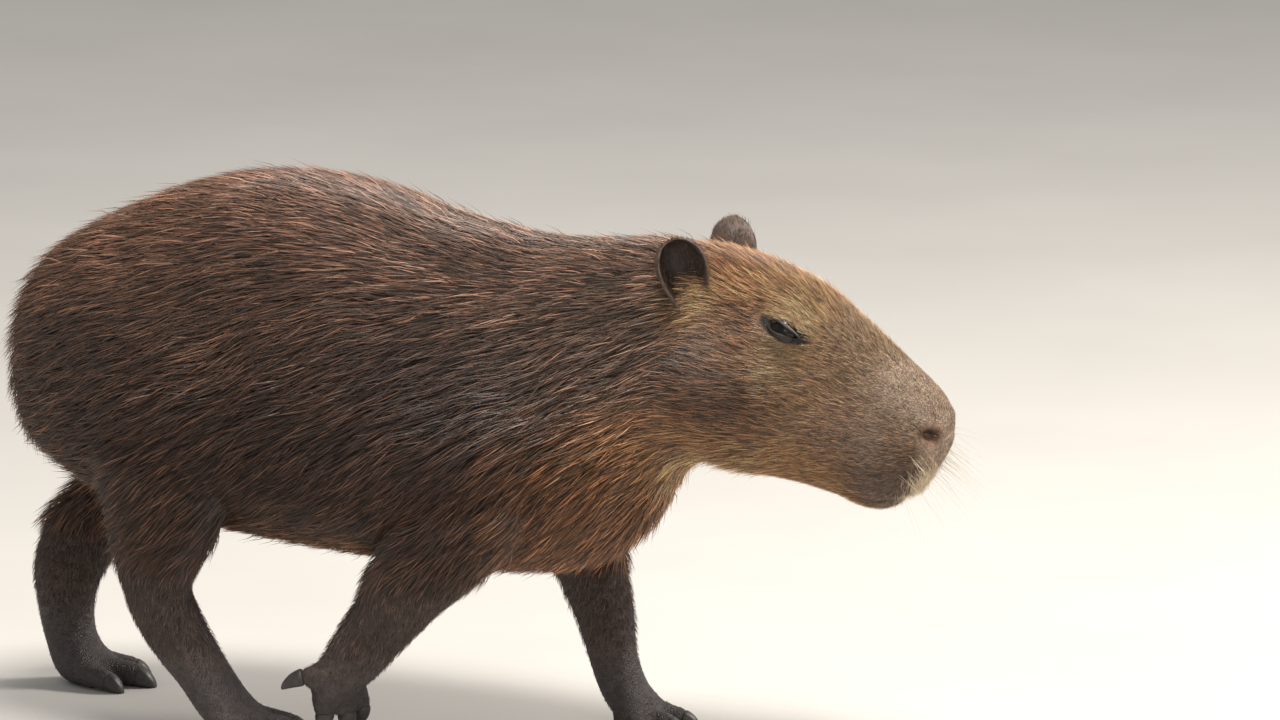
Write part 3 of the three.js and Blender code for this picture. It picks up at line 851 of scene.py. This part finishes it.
def carved_face(points, normals):
    """Nostrils, mouth, lip cleft, slit, brow and folds, pushed along the normals by bells."""
    in_head = body_to_head(points)
    along, out, up = in_head.T
    gap = mouth_gap(in_head)
    mouth = np.exp(-((gap / 2.2) ** 2)) * smooth(150, 172, along)
    lips = np.exp(-(((gap - 6) / 4) ** 2)) * smooth(165, 185, along)
    cleft = np.exp(-((out / 1.8) ** 2)) * smooth(212, 222, along) * smooth(24, 12, up)
    slit_at = [EYE["along"] - 1, EYE["out"] + 12, EYE["up"] + 1]
    slit = smooth(0.35, 0.75, bell(in_head, slit_at, (15, 12, 4.8)))
    push = 1.5 * lips - 3.2 * mouth - 2.0 * cleft - 7.0 * slit
    for at, reach, height in FACE_FORMS.values():
        push += height * bell(in_head, at, reach)
    return points + normals * push[:, None]


def zone_weights(points):
    """Soft shares of every coat zone at each point: a bell over its reach, summing to 1."""
    mirrored = np.abs(points * [0, 1, 0]) + points * [1, 0, 1]
    in_head = body_to_head(mirrored)
    weights = []
    for zones, place in ((BODY_ZONES, mirrored), (HEAD_ZONES, in_head)):
        for at, reach, *_ in zones.values():
            weights.append(np.exp(-np.sum((place - at) ** 2, -1) / reach**2) + 1e-12)
    weights = np.stack(weights, -1) ** 1.5
    return weights / weights.sum(-1, keepdims=True)


ZONES = list(BODY_ZONES.values()) + list(HEAD_ZONES.values())
ZONE_COLOUR = np.array([z[2] for z in ZONES])
ZONE_LENGTH = np.array([z[3] for z in ZONES], float)
ZONE_LIFT = np.array([z[4] for z in ZONES], float)


def markings(points):
    """The coat's colour, hair length and lift at each point, fading down the legs to bare skin."""
    shares = zone_weights(points)
    colour = shares @ ZONE_COLOUR
    length, lift = shares @ ZONE_LENGTH, shares @ ZONE_LIFT
    leg = smooth(160, 126, points[:, 2])[:, None]
    bare = smooth(95, 45, points[:, 2])[:, None]
    colour = colour * (1 - leg) + (LEG_COLOUR * (1 - bare) + FOOT_COLOUR * bare) * leg
    on_leg = LEG_HAIR["knee"] * (1 - bare[:, 0]) + LEG_HAIR["foot"] * bare[:, 0]
    length = length * (1 - leg[:, 0]) + on_leg * leg[:, 0]
    in_head = body_to_head(points)
    place = in_head * [1, 0, 1] + np.abs(in_head * [0, 1, 0])
    away = np.linalg.norm((place - NOSTRIL) / [1, 1, 0.7], axis=-1)
    rim = np.exp(-(((away - 8) / 4) ** 2))[:, None] * 0.8
    colour = colour * (1 - rim) + NOSTRIL_RING * rim
    return colour, length, lift


def lie_of_coat(points, normals):
    """The way the hair lies: backwards on the trunk, sloping down the flanks, down the legs."""
    flank = np.abs(normals[:, 1])
    fall = 0.42 + 0.55 * smooth(300, 185, points[:, 2])
    lie = np.stack([-np.ones(len(points)), 0 * flank, -0.06 - fall * flank**2], -1)
    rump = smooth(-360, -420, points[:, 0])[:, None]
    chest = (smooth(95, 130, points[:, 0]) * smooth(250, 215, points[:, 2]))[:, None]
    leg = smooth(165, 130, points[:, 2])[:, None]
    head = smooth(-5, 30, body_to_head(points)[:, 0])[:, None]
    head_lie = head_to_body(np.array([[-1.0, 0, -0.18]])) - HEAD_BACK
    lie = lie * (1 - rump) + np.array([-0.25, 0, -1.0]) * rump
    lie = lie * (1 - chest) + np.array([-0.3, 0, -1.0]) * chest
    lie = lie * (1 - head) + head_lie * head
    lie = lie * (1 - leg) + np.array([-0.2, 0, -1.0]) * leg
    lie = lie - normals * np.sum(lie * normals, -1, keepdims=True)
    return unit(lie)


def eye_bulge(side):
    """A ball a lid's thickness larger than the eye, which the skin is drawn over."""
    centre = head_to_body([EYE["along"], side * EYE["out"], EYE["up"]])
    polar = np.linspace(0.03, np.pi - 0.03, 24)[:, None]
    around = np.linspace(0, 2 * np.pi, 32, endpoint=False)[None]
    direction = np.stack(
        [np.sin(polar) * np.cos(around), np.sin(polar) * np.sin(around), np.cos(polar) + 0 * around], -1
    )
    return closed_tube(centre + (EYE["radius"] + 1.4) * direction)


def skin_mesh(settings):
    """The whole skin: trunk, head, limbs and toes fused, eased and carved."""
    parts = [trunk_surface(COAT_DEPTH["trunk"]), head_surface()]
    parts += [eye_bulge(side) for side in (-1, 1)]
    for limb in LIMBS.values():
        parts.append(limb_surface(limb))
        parts += [toe_surface(toe, limb["side"]) for toe in limb["toes"]]
    mesh = fused(parts, settings.voxel)
    points = mesh_points(mesh)
    foot = smooth(70, 45, points[:, 2])
    points = eased(mesh, points, 10, 1 - 0.75 * foot)
    points[:, 2] = np.maximum(points[:, 2], 0)
    set_points(mesh, points)
    shape = bmesh.new()
    shape.from_mesh(mesh)
    face = body_to_head(points)[:, 0] > 62
    edges = [e for e in shape.edges if face[e.verts[0].index] and face[e.verts[1].index]]
    bmesh.ops.subdivide_edges(shape, edges=edges, cuts=1, use_grid_fill=True)
    shape.to_mesh(mesh)
    shape.free()
    points = mesh_points(mesh)
    points = eased(mesh, points, 2, smooth(50, 80, body_to_head(points)[:, 0]))
    set_points(mesh, points)
    set_points(mesh, carved_face(points, mesh_normals(mesh)))
    return mesh


def hide_colours(points):
    """The skin shows the markings' roots: darker than the hair, but full strength where bare; the
    darkening under long hair is partly painted shade between the tufts, and nostrils and the mouth's
    line are painted near black as painted shade.
    """
    colour, length, _ = markings(points)
    # Half as dark under long hair: the skin's own dark tone and painted shade between the tufts.
    shade = 0.5 + 0.5 * smooth(9, 3, length)
    colour = colour * shade[:, None]
    in_head = body_to_head(points)
    # Painted shade: the nostrils' hollows and the line of the closed mouth are painted near black.
    ring = bell(in_head, NOSTRIL, (8, 9, 4.6))[:, None]
    mouth = np.exp(-((mouth_gap(in_head) / 2.4) ** 2)) * smooth(150, 172, in_head[:, 0])
    mouth = mouth[:, None]
    lids = smooth(1.0, 0.8, eye_oval(in_head, 26, 8))[:, None] * (np.abs(in_head[:, 1:2]) > 30)
    dark = np.clip(ring * 1.6 + mouth * 0.9 + lids, 0, 1)
    return colour * (1 - dark) + NEAR_BLACK * dark


class CAPYBARA_OT_skin(bpy.types.Operator):
    """Builds the skin, which stands for every flesh node"""

    bl_idname = "capybara.skin"
    bl_label = "Skin"

    def execute(self, context):
        mesh = skin_mesh(context.scene.capybara_coat)
        mesh.name = "skin"
        skin = bpy.data.objects.new("skin", mesh)
        context.scene.collection.objects.link(skin)
        mesh.polygons.foreach_set("use_smooth", np.ones(len(mesh.polygons), bool))
        claws_eyes_ears = ("claw", "eye", "_ear")
        flesh = [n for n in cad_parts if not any(word in n for word in claws_eyes_ears)]
        dress(skin, hide_material(), flesh, hide_colours(mesh_points(mesh)))
        return {"FINISHED"}


def eye_axes(side):
    """Eye centre, outward axis, along the slit and across it, in the body frame."""
    centre = head_to_body([EYE["along"], side * EYE["out"], EYE["up"]])
    outward = unit(head_to_body([-0.06, side * 0.97, 0.16]) - HEAD_BACK)
    slit = head_to_body([1.0, 0, 0.02]) - HEAD_BACK
    slit = unit(slit - outward * (slit @ outward))
    return centre, outward, slit, np.cross(outward, slit) * side


def eyeball(side):
    """A ball whose cornea bulges by a bell about the gaze, coloured by the angle from it."""
    centre, outward, slit, across = eye_axes(side)
    polar = np.linspace(0.02, np.pi - 0.02, 40)[:, None]
    around = np.linspace(0, 2 * np.pi, 64, endpoint=False)[None]
    radius = (EYE["radius"] - 0.4) * (1 + 0.05 * np.exp(-((polar / 0.5) ** 2)))
    direction = (
        np.cos(polar)[..., None] * outward
        + (np.sin(polar) * np.cos(around))[..., None] * slit
        + (np.sin(polar) * np.sin(around))[..., None] * across
    )
    points, quads, tris = closed_tube(centre + radius[..., None] * direction)
    angle = np.arccos(np.clip(unit(points - centre) @ outward, -1, 1))
    iris = smooth(0.42, 0.5, angle) * smooth(0.98, 0.9, angle)
    edge = smooth(0.95, 1.1, angle)[:, None]
    colour = NEAR_BLACK * 0.5 + iris[:, None] * IRIS_BROWN
    return (points, quads, tris), colour * (1 - edge) + edge * EYE_EDGE_GREY


def lid_surface(side):
    """A shell over the ball with a slit: its profile runs out over the lid and back beneath.

    Round the eye, the slit's rim is an ellipse on the shell, and each profile point's distance
    from the gaze grows from that rim to the shell's edge under the skin.
    """
    centre, outward, slit, across = eye_axes(side)
    around = np.linspace(0, 2 * np.pi, 96, endpoint=False)[None]
    share, lift = LID_PROFILE.T[..., None]
    half_height = np.where(np.sin(around) > 0, LID_OPENING["above"], LID_OPENING["below"])
    half_height = half_height * (1 - 0.25 * np.cos(around))
    half_length = LID_OPENING["half_length"]
    rim = 1 / np.sqrt((np.cos(around) / half_length) ** 2 + (np.sin(around) / half_height) ** 2)
    polar = rim + (0.24 + 0.16 * np.cos(around) ** 2) * share
    radius = EYE["radius"] + 0.3 + lift
    points = centre + radius[..., None] * (
        np.cos(polar)[..., None] * outward
        + (np.sin(polar) * np.cos(around))[..., None] * slit
        + (np.sin(polar) * np.sin(around))[..., None] * across
    )
    rows, count = polar.shape
    quads = tube_faces(rows, count)
    k = np.arange(count)
    n = (k + 1) % count
    last = (rows - 1) * count
    quads = np.vstack([quads, np.stack([last + k, last + n, n, k], -1)])
    flat = points.reshape(-1, 3)
    dark = np.broadcast_to(smooth(0.95, 0.45, share), polar.shape).reshape(-1, 1)
    colour = markings(flat)[0] * 0.12 * (1 - dark) + NEAR_BLACK * dark
    return faced_out(flat, quads, np.empty((0, 3), int)), colour


class CAPYBARA_OT_eyes(bpy.types.Operator):
    """Builds the eyeballs and the lids over them"""

    bl_idname = "capybara.eyes"
    bl_label = "Eyes and lids"

    def execute(self, context):
        glossy, skin = eye_material(), ear_material()
        for name, side in (("right", -1), ("left", 1)):
            surface, colour = eyeball(side)
            ball = put_mesh(f"{name}_eyeball", *surface)
            dress(ball, glossy, [f"{name}_eye"], colour)
            surface, colour = lid_surface(side)
            dress(put_mesh(f"{name}_lids", *surface), skin, (), colour)
        return {"FINISHED"}


def ear_surface(side, colours):
    """A curled sheet: each section is an arc about the ear's line, out and back a skin apart."""
    root = np.array(EAR["root"], float) * [1, side, 1]
    rise = np.array(EAR["tip"], float) * [1, side, 1] - root
    up = unit(rise)
    faces = np.array(EAR["faces"], float) * [1, side, 1]
    faces = unit(faces - up * (faces @ up))
    across = np.cross(up, faces)
    height, radius, span = drawn_through(EAR["sections"], 6).T
    step = np.linspace(-1, 1, 28)
    thick = EAR["thick"] * (1 - 0.55 * step**4)
    turn = np.vstack([step[None]] * len(height)) * span[:, None]
    ripple = 0.6 * np.sin(3.1 * turn + 5 * height[:, None])
    outer = radius[:, None] + ripple
    inner = outer - thick[None]
    line = root + height[:, None, None] * rise
    walls = [
        line - (r * np.cos(a))[..., None] * faces + (r * np.sin(a))[..., None] * across
        for r, a in ((outer, turn), (inner, turn * 0.97))
    ]
    rings = np.concatenate([walls[0], walls[1][:, ::-1]], axis=1)
    points, quads, tris = closed_tube(head_to_body(rings))
    inside = np.zeros(rings.shape[:2])
    inside[:, 28:] = smooth(1, 0.5, np.abs(step))[::-1]
    inside = np.append(inside.ravel(), [1, 0])[:, None]
    rim = np.append((np.abs(np.r_[step, step[::-1]]) > 0.9) * np.ones((len(height), 1)), [0, 0])
    colour = np.array(colours.ear_back) * (1 - inside) + np.array(colours.ear_cup) * inside
    paler_rim = 0.03
    return (points, quads, tris), colour + paler_rim * rim[:, None]


class CAPYBARA_OT_ears(bpy.types.Operator):
    """Builds the two cupped ears"""

    bl_idname = "capybara.ears"
    bl_label = "Ears"

    def execute(self, context):
        material = ear_material()
        for name, side in (("right", -1), ("left", 1)):
            surface, colour = ear_surface(side, context.scene.capybara_colours)
            dress(put_mesh(f"{name}_pinna", *surface), material, [f"{name}_ear"], colour)
        return {"FINISHED"}


class CAPYBARA_OT_claws(bpy.types.Operator):
    """Builds the blunt claws of each foot"""

    bl_idname = "capybara.claws"
    bl_label = "Claws"

    def execute(self, context):
        material = claw_material()
        for name, limb in LIMBS.items():
            surface = joined([claw_surface(toe, limb["side"]) for toe in limb["toes"]])
            replaced = [f"{name}_claw_{i + 1}" for i in range(len(limb["toes"]))]
            colour = np.tile(context.scene.capybara_colours.claw, (len(surface[0]), 1))
            dress(put_mesh(f"{name}_claws", *surface), material, replaced, colour)
        return {"FINISHED"}


def skin_samples(rng, wanted, density, name="skin"):
    """Seeded places on a surface, by area times density: points and normals."""
    mesh = bpy.data.objects[name].data
    points, normals = mesh_points(mesh), mesh_normals(mesh)
    mesh.calc_loop_triangles()
    tris = np.empty(len(mesh.loop_triangles) * 3, np.int32)
    mesh.loop_triangles.foreach_get("vertices", tris)
    tris = tris.reshape(-1, 3)
    a, b, c = points[tris].transpose(1, 0, 2)
    area = np.linalg.norm(np.cross(b - a, c - a), axis=-1)
    chance = area * density((a + b + c) / 3)
    chosen = np.searchsorted(np.cumsum(chance) / chance.sum(), rng.random(wanted))
    u, v = rng.random((2, wanted, 1))
    fold = u + v > 1
    u, v = np.where(fold, 1 - u, u), np.where(fold, 1 - v, v)
    share = np.stack([1 - u - v, u, v], 1)
    corners = tris[chosen]
    return (points[corners] * share).sum(1), unit((normals[corners] * share).sum(1))


def wander(rng, points, scale):
    """Slow waves over the body, the mean of four sines of seeded heading, from -1 to 1."""
    total = np.zeros(len(points))
    for _ in range(4):
        heading = unit(rng.normal(size=3))
        total += np.sin(points @ heading * 2 * np.pi / scale + rng.uniform(0, 2 * np.pi))
    return total / 4


def tufts(roots, normals, lie, length, width, lift, mid_rows):
    """Three-sided tapering blades: sunk root ring, a bent middle ring if asked, and a tip.

    A point at share f of the length lies along the coat by f cos and off it by f sin of a lift
    that falls towards the tip, so that each blade bends back to the body.
    """
    count = len(roots)
    across = np.cross(normals, lie)
    shares = np.array([0.0, 0.5][: 1 + mid_rows])
    levels = []
    for share in shares:
        angle = lift * (1.15 - 0.5 * share)
        go = lie * np.cos(angle)[:, None] + normals * np.sin(angle)[:, None]
        rise = normals * np.cos(angle)[:, None] - lie * np.sin(angle)[:, None]
        centre = roots + go * (length * share)[:, None] - normals * 0.6 * (share == 0)
        half = (width * (1 - 0.35 * share) / 2)[:, None]
        levels += [centre - across * half, centre + across * half, centre + rise * half * 0.8]
    angle = lift * 0.65
    tip = lie * np.cos(angle)[:, None] + normals * np.sin(angle)[:, None]
    levels.append(roots + tip * length[:, None])
    points = np.stack(levels, 1)
    each = points.shape[1]
    faces = [[0, 2, 1]]
    for row in range(mid_rows):
        for k in range(3):
            a, b = row * 3 + k, row * 3 + (k + 1) % 3
            faces += [[a, b, b + 3], [a, b + 3, a + 3]]
    top = mid_rows * 3
    faces += [[top + k, top + (k + 1) % 3, each - 1] for k in range(3)]
    faces = np.array(faces)
    _, _, oriented = faced_out(points[0], np.empty((0, 4), int), faces)
    triangles = (np.arange(count) * each)[:, None, None] + oriented[None]
    heights = np.repeat([0.0, 0.5][: 1 + mid_rows], 3).tolist() + [1.0]
    return points, triangles.reshape(-1, 3), np.array(heights)


def strand_colours(rng, base, heights, pale_glint_share):
    """Dark, plain and pale strands at random, the pale ones partly painted glints of highlight, each
    darker at its root.
    """
    draw = rng.random(len(base))
    dark, plain, pale = STRANDS["shades"]
    # Pale strands: partly pale-tipped hair, partly painted glints of highlight.
    shade = np.where(draw < STRANDS["dark"], dark, np.where(draw < 1 - pale_glint_share, plain, pale))
    shade = shade * rng.uniform(*STRANDS["shade_spread"], len(base))
    warm = 1 + rng.uniform(*STRANDS["warmth"], (len(base), 1)) * np.array([1.0, 0.0, -0.6])
    root = STRANDS["root_shade"] + (1 - STRANDS["root_shade"]) * heights[None] ** 0.8
    colour = base[:, None] * warm[:, None] * (shade[:, None] * root)[..., None]
    return np.clip(colour, 0, 0.9)


def unwrap(points, where):
    """A place on a cylinder unrolled about the trunk, the head or each leg: two shares."""
    if where == "head":
        along, out, up = body_to_head(points).T
        turn, run = np.arctan2(out, up) / (2 * np.pi) + 0.5, along
    elif where == "body":
        middle = np.interp(points[:, 0], [r[0] for r in TRUNK], [(r[1] + r[2]) / 2 for r in TRUNK])
        turn = np.arctan2(points[:, 1], points[:, 2] - middle) / (2 * np.pi) + 0.5
        run = points[:, 0]
    else:
        turn, run = np.zeros(len(points)), points[:, 2]
        for index, limb in enumerate(LIMBS.values()):
            path = np.array(limb["path"])[::-1]
            x = np.interp(points[:, 2], path[:, 2], path[:, 0])
            y = np.interp(points[:, 2], path[:, 2], path[:, 1]) * limb["side"]
            near = np.hypot(points[:, 0] - x, points[:, 1] - y)
            best = near if index == 0 else np.minimum(best, near)
            angle = np.arctan2(points[:, 1] - y, points[:, 0] - x) / (2 * np.pi) + 0.5
            turn = np.where(near <= best, (index + angle * 0.98) / 4, turn)
    run = (run - run.min()) / (np.ptp(run) + 1e-9)
    return np.stack([turn, run], -1) * MAP_SPAN + PATCH


def put_bake_map(obj, place, triangles):
    """The piece's bake map, from a place on the map for each of its points."""
    layer = obj.data.uv_layers.new(name="OFBake")
    layer.data.foreach_set("uv", place[triangles.ravel()].astype(np.float32).ravel())


def put_coat(name, points, triangles, colours, roots, where, material):
    """One coat piece with its bake map: every tuft a small patch at its root's place."""
    count, each = points.shape[:2]
    obj = put_mesh(name, points.reshape(-1, 3), triangles)
    place = np.repeat(unwrap(roots, where), each, axis=0)
    put_bake_map(obj, place + np.tile(PATCH_CORNERS[each], (count, 1)) * PATCH, triangles)
    obj.data.polygons.foreach_set("use_smooth", np.zeros(len(triangles), bool))
    return dress(obj, material, (), colours.reshape(-1, 3))


def grow(rng, where, wanted, settings, material):
    """A coat over part of the skin, laid in pieces from rear to front."""
    coat = COATS[where]
    roots, normals = skin_samples(rng, wanted, coat["density"])
    order = np.argsort(body_to_head(roots)[:, 0] if where == "head" else roots[:, 0])
    roots, normals = roots[order], normals[order]
    colour, length, lift = markings(roots)
    lie = lie_of_coat(roots, normals)
    sway = sum(wander(rng, roots, size) * height for size, height in SWAY)
    sway = sway + rng.normal(0, SWAY_JITTER, wanted)
    across = np.cross(normals, lie)
    lie = unit(lie * np.cos(sway)[:, None] + across * np.sin(sway)[:, None])
    length = length * rng.uniform(*STRANDS["lengths"], wanted)
    width = np.clip(length / STRANDS["full_width_at"], *STRANDS["widths"])
    width = width * settings.strand_width / MM * coat["scale"]
    stray = rng.random(wanted) < STRANDS["stray"]
    lift = np.radians(lift) * rng.uniform(*STRANDS["lifts"], wanted)
    lift = lift * np.where(stray, STRANDS["stray_lift"], 1)
    patchy = sum((wander(rng, roots, size) * share for size, share in SHADE_WAVES), 1)
    points, triangles, heights = tufts(roots, normals, lie, length, width, lift, coat["rings"])
    points[..., 2] = np.maximum(points[..., 2], 0.3)
    colours = strand_colours(rng, colour * patchy[:, None], heights, coat["pale_glint_share"])
    each = len(triangles) // wanted
    for index, chosen in enumerate(np.array_split(np.arange(wanted), coat["pieces"])):
        first, last = chosen[0], chosen[-1] + 1
        faces = triangles[first * each : last * each] - first * points.shape[1]
        put_coat(
            f"coat_{where}_{index + 1}", points[first:last], faces, colours[first:last],
            roots[first:last], where, material,
        )


def ear_fuzz(rng, side, ear, wanted, settings, colour, material):
    """Short dark hair over an ear, all of it lying towards the ear's tip."""
    roots, normals = skin_samples(rng, wanted, lambda p: np.ones(len(p)), ear)
    rise = (np.array(EAR["tip"], float) - EAR["root"]) * [1, side, 1]
    rise = head_to_body(rise) - HEAD_BACK + rng.normal(0, 9, (wanted, 3))
    lie = unit(rise - normals * np.sum(rise * normals, -1, keepdims=True))
    length = rng.uniform(3, 8, wanted)
    width = np.full(wanted, settings.strand_width / MM * 0.4)
    lift = np.radians(rng.uniform(6, 22, wanted))
    points, triangles, heights = tufts(roots, normals, lie, length, width, lift, 0)
    base = np.tile(colour, (wanted, 1))
    colours = strand_colours(rng, base, heights, 0.12)
    put_coat(f"fuzz_{ear}", points, triangles, colours, roots, "head", material)


def on_head(points):
    """1 on the head, 0 behind it, an S curve between."""
    return smooth(-12, 6, body_to_head(points)[:, 0]) * (points[:, 0] > 150)


def eye_gap(points):
    """0 over the open eye and its lids, 1 away from them."""
    return smooth(0.9, 1.08, eye_oval(body_to_head(points), 24, 6.8))


def bare_nose(points):
    """0 round the nostrils' middles, 1 away from them."""
    in_head = body_to_head(points)
    place = in_head * [1, 0, 1] + np.abs(in_head * [0, 1, 0])
    return smooth(7, 10, np.linalg.norm(place - NOSTRIL, axis=-1))


def body_share(points):
    """How thick the body's coat stands: none on the head, and fading out at the belly's level."""
    return (1 - on_head(points)) * smooth(128, 150, points[:, 2])


def leg_share(points):
    """Below the body's coat, thinning towards the feet."""
    return smooth(150, 132, points[:, 2]) * (0.25 + smooth(40, 100, points[:, 2]))


def head_share(points):
    """On the head off eyes and nostrils, denser by a power of how short the hair is."""
    short = (9 / (markings(points)[1] + 2)) ** 1.3
    return on_head(points) * eye_gap(points) * bare_nose(points) * short


# The coats: how thick each stands, its pieces, the rings between root and tip, the strands'
# width over the settings' and the share of pale strands, which are partly painted glints of highlight.
COATS = {
    "body": {"density": body_share, "pieces": 6, "rings": 1, "scale": 1.0, "pale_glint_share": 0.12},
    "legs": {"density": leg_share, "pieces": 1, "rings": 1, "scale": 1.3, "pale_glint_share": 0.1},
    "head": {"density": head_share, "pieces": 3, "rings": 0, "scale": 1.15, "pale_glint_share": 0.24},
}


class CAPYBARA_OT_coat(bpy.types.Operator):
    """Grows the coat: long tufts on the body, shorter on the legs, fine and short on the head"""

    bl_idname = "capybara.coat"
    bl_label = "Coat"

    def execute(self, context):
        settings = context.scene.capybara_coat
        material = strand_material()
        share = 1.0
        rng = np.random.default_rng(settings.seed)
        wanted = {"body": settings.body_tufts, "legs": settings.leg_tufts, "head": settings.head_tufts}
        for where, count in wanted.items():
            grow(rng, where, int(count * share), settings, material)
        colour = context.scene.capybara_colours.ear_fuzz
        for side, ear in ((-1, "right_pinna"), (1, "left_pinna")):
            ear_fuzz(rng, side, ear, int(settings.ear_tufts * share), settings, colour, material)
        return {"FINISHED"}


def whisker_pad(points):
    """Where the long whiskers grow: a bell on each side of the muzzle."""
    return bell(body_to_head(points), (219, 32, 2), (9, 10, 15))


def lip_front(points):
    """Where the pale bristles grow: a bell over the front of the lips."""
    return bell(body_to_head(points), (224, 0, -16), (9, 24, 17))


def whisker_tubes(roots, heads, lengths, thick, droop, rows):
    """Thin tapering tubes of three sides on curves that droop by the square of their length."""
    share = np.linspace(0, 1, rows)
    angle = 2 * np.pi / 3 * np.arange(3)
    parts = []
    for root, head, length in zip(roots, heads, lengths):
        side = unit(np.cross(head, [0.1, 0.2, 1.0]))
        other = np.cross(head, side)
        line = root + head * length * (share[:, None]) - np.outer(share**2, [0, 0, droop * length])
        girth = thick * (1 - 0.85 * share)[:, None, None]
        ring = np.cos(angle)[None, :, None] * side + np.sin(angle)[None, :, None] * other
        parts.append(closed_tube(line[:, None] + girth * ring))
    points, quads, tris = joined(parts)
    return points, as_triangles(quads, tris), np.repeat(roots, len(parts[0][0]), axis=0)


class CAPYBARA_OT_whiskers(bpy.types.Operator):
    """Sets the whiskers of the muzzle and the pale bristles along the lip"""

    bl_idname = "capybara.whiskers"
    bl_label = "Whiskers"

    def execute(self, context):
        settings = context.scene.capybara_coat
        rng = np.random.default_rng(settings.seed + 1)
        roots, normals = skin_samples(rng, settings.long_whiskers, whisker_pad)
        ahead = head_to_body(np.array([0.9, 0, -0.25])) - HEAD_BACK
        heads = unit(normals * 0.5 + ahead * 1.3 + rng.normal(0, 0.22, roots.shape))
        lengths = settings.whisker_length / MM * rng.uniform(0.35, 1.0, len(roots))
        long = whisker_tubes(roots - normals, heads, lengths, 0.17, 0.1, 7)
        roots, normals = skin_samples(rng, settings.lip_bristles, lip_front)
        down = head_to_body(np.array([0.1, 0, -1.0])) - HEAD_BACK
        heads = unit(normals * 0.45 + down + rng.normal(0, 0.18, roots.shape))
        lengths = rng.uniform(4, 9, len(roots))
        short = whisker_tubes(roots - normals, heads, lengths, 0.17, 0.0, 3)
        points, roots = np.vstack([long[0], short[0]]), np.vstack([long[2], short[2]])
        faces = np.vstack([long[1], short[1] + len(long[0])])
        obj = put_mesh("whiskers", points, faces)
        longest = settings.whisker_length / MM
        place = unwrap(roots, "head") + PATCH * (points - roots)[:, [0, 2]] / longest
        put_bake_map(obj, place, faces)
        dress(obj, whisker_material(context.scene.capybara_colours.whisker))
        return {"FINISHED"}


def area_light(name, place, size, power, colour):
    """A square light that faces the middle of the body."""
    light = bpy.data.lights.new(name, "AREA")
    light.size, light.energy, light.color = size, power, colour
    obj = bpy.data.objects.new(name, light)
    obj.location = place
    obj.rotation_euler = aimed(np.array(LIGHT_AIM) - place)
    bpy.context.scene.collection.objects.link(obj)


def aimed(direction):
    """The turn that points an object's -Z along a direction with its top upwards."""
    return Vector(direction).to_track_quat("-Z", "Y").to_euler()


class CAPYBARA_OT_stage(bpy.types.Operator):
    """Sets the floor, the light and the camera"""

    bl_idname = "capybara.stage"
    bl_label = "Stage"

    def execute(self, context):
        settings = context.scene.capybara_stage
        scene = context.scene
        corners = FLOOR_EDGE * np.array([[-1, -1, 0], [1, -1, 0], [1, 1, 0], [-1, 1, 0]])
        floor = put_mesh("floor", corners - SHIFT, np.array([[0, 1, 2, 3]]))
        shader = Shader("pale floor")
        base = shader.node("ShaderNodeRGB")
        base.socket.default_value = (*settings.floor_colour, 1)
        shader.set(Base_Color=shader.tinted(base, 0.97, 1.03, shader.noise(3.0)), Roughness=0.85)
        floor.data.materials.append(shader.material)
        world = bpy.data.worlds.new("soft sky")
        world.use_nodes = True
        background = world.node_tree.nodes["Background"].inputs
        background["Color"].default_value = SKY["colour"]
        background["Strength"].default_value = SKY["strength"]
        scene.world = world
        for name, values in LIGHTS.items():
            area_light(name, *values)
        camera = bpy.data.cameras.new("camera")
        camera.lens, camera.sensor_width, camera.sensor_fit = settings.lens, 36, "HORIZONTAL"
        camera.clip_end = 60
        a, e = settings.azimuth, settings.elevation
        back = np.array([np.sin(a) * np.cos(e), -np.cos(a) * np.cos(e), np.sin(e)])
        target = (CAMERA_AIM + SHIFT) * MM
        obj = bpy.data.objects.new("camera", camera)
        obj.location = target + back * settings.distance
        obj.rotation_euler = aimed(-back)
        scene.collection.objects.link(obj)
        scene.camera = obj
        scene.view_settings.view_transform = "Standard"
        return {"FINISHED"}


class CAPYBARA_PT_panel(bpy.types.Panel):
    """Lists the steps and their settings"""

    bl_label = "Capybara"
    bl_idname = "CAPYBARA_PT_panel"
    bl_space_type = "VIEW_3D"
    bl_region_type = "UI"
    bl_category = "Capybara"

    def draw(self, context):
        for operator in OPERATORS:
            self.layout.operator(operator.bl_idname)
        scene = context.scene
        for group in (scene.capybara_coat, scene.capybara_colours, scene.capybara_stage):
            for name in group.bl_rna.properties.keys():
                if name not in ("name", "rna_type"):
                    self.layout.prop(group, name)


OPERATORS = (
    CAPYBARA_OT_stage,
    CAPYBARA_OT_skin,
    CAPYBARA_OT_eyes,
    CAPYBARA_OT_ears,
    CAPYBARA_OT_claws,
    CAPYBARA_OT_coat,
    CAPYBARA_OT_whiskers,
)
CLASSES = (CoatSettings, ColourSettings, StageSettings, *OPERATORS, CAPYBARA_PT_panel)


def register():
    for cls in CLASSES:
        bpy.utils.register_class(cls)
    bpy.types.Scene.capybara_coat = bpy.props.PointerProperty(type=CoatSettings)
    bpy.types.Scene.capybara_colours = bpy.props.PointerProperty(type=ColourSettings)
    bpy.types.Scene.capybara_stage = bpy.props.PointerProperty(type=StageSettings)


def unregister():
    del bpy.types.Scene.capybara_stage
    del bpy.types.Scene.capybara_colours
    del bpy.types.Scene.capybara_coat
    for cls in reversed(CLASSES):
        bpy.utils.unregister_class(cls)


def main():
    register()
    bpy.ops.capybara.stage()
    bpy.ops.capybara.skin()
    bpy.ops.capybara.eyes()
    bpy.ops.capybara.ears()
    bpy.ops.capybara.claws()
    bpy.ops.capybara.coat()
    bpy.ops.capybara.whiskers()


if __name__ == "__main__":
    main()
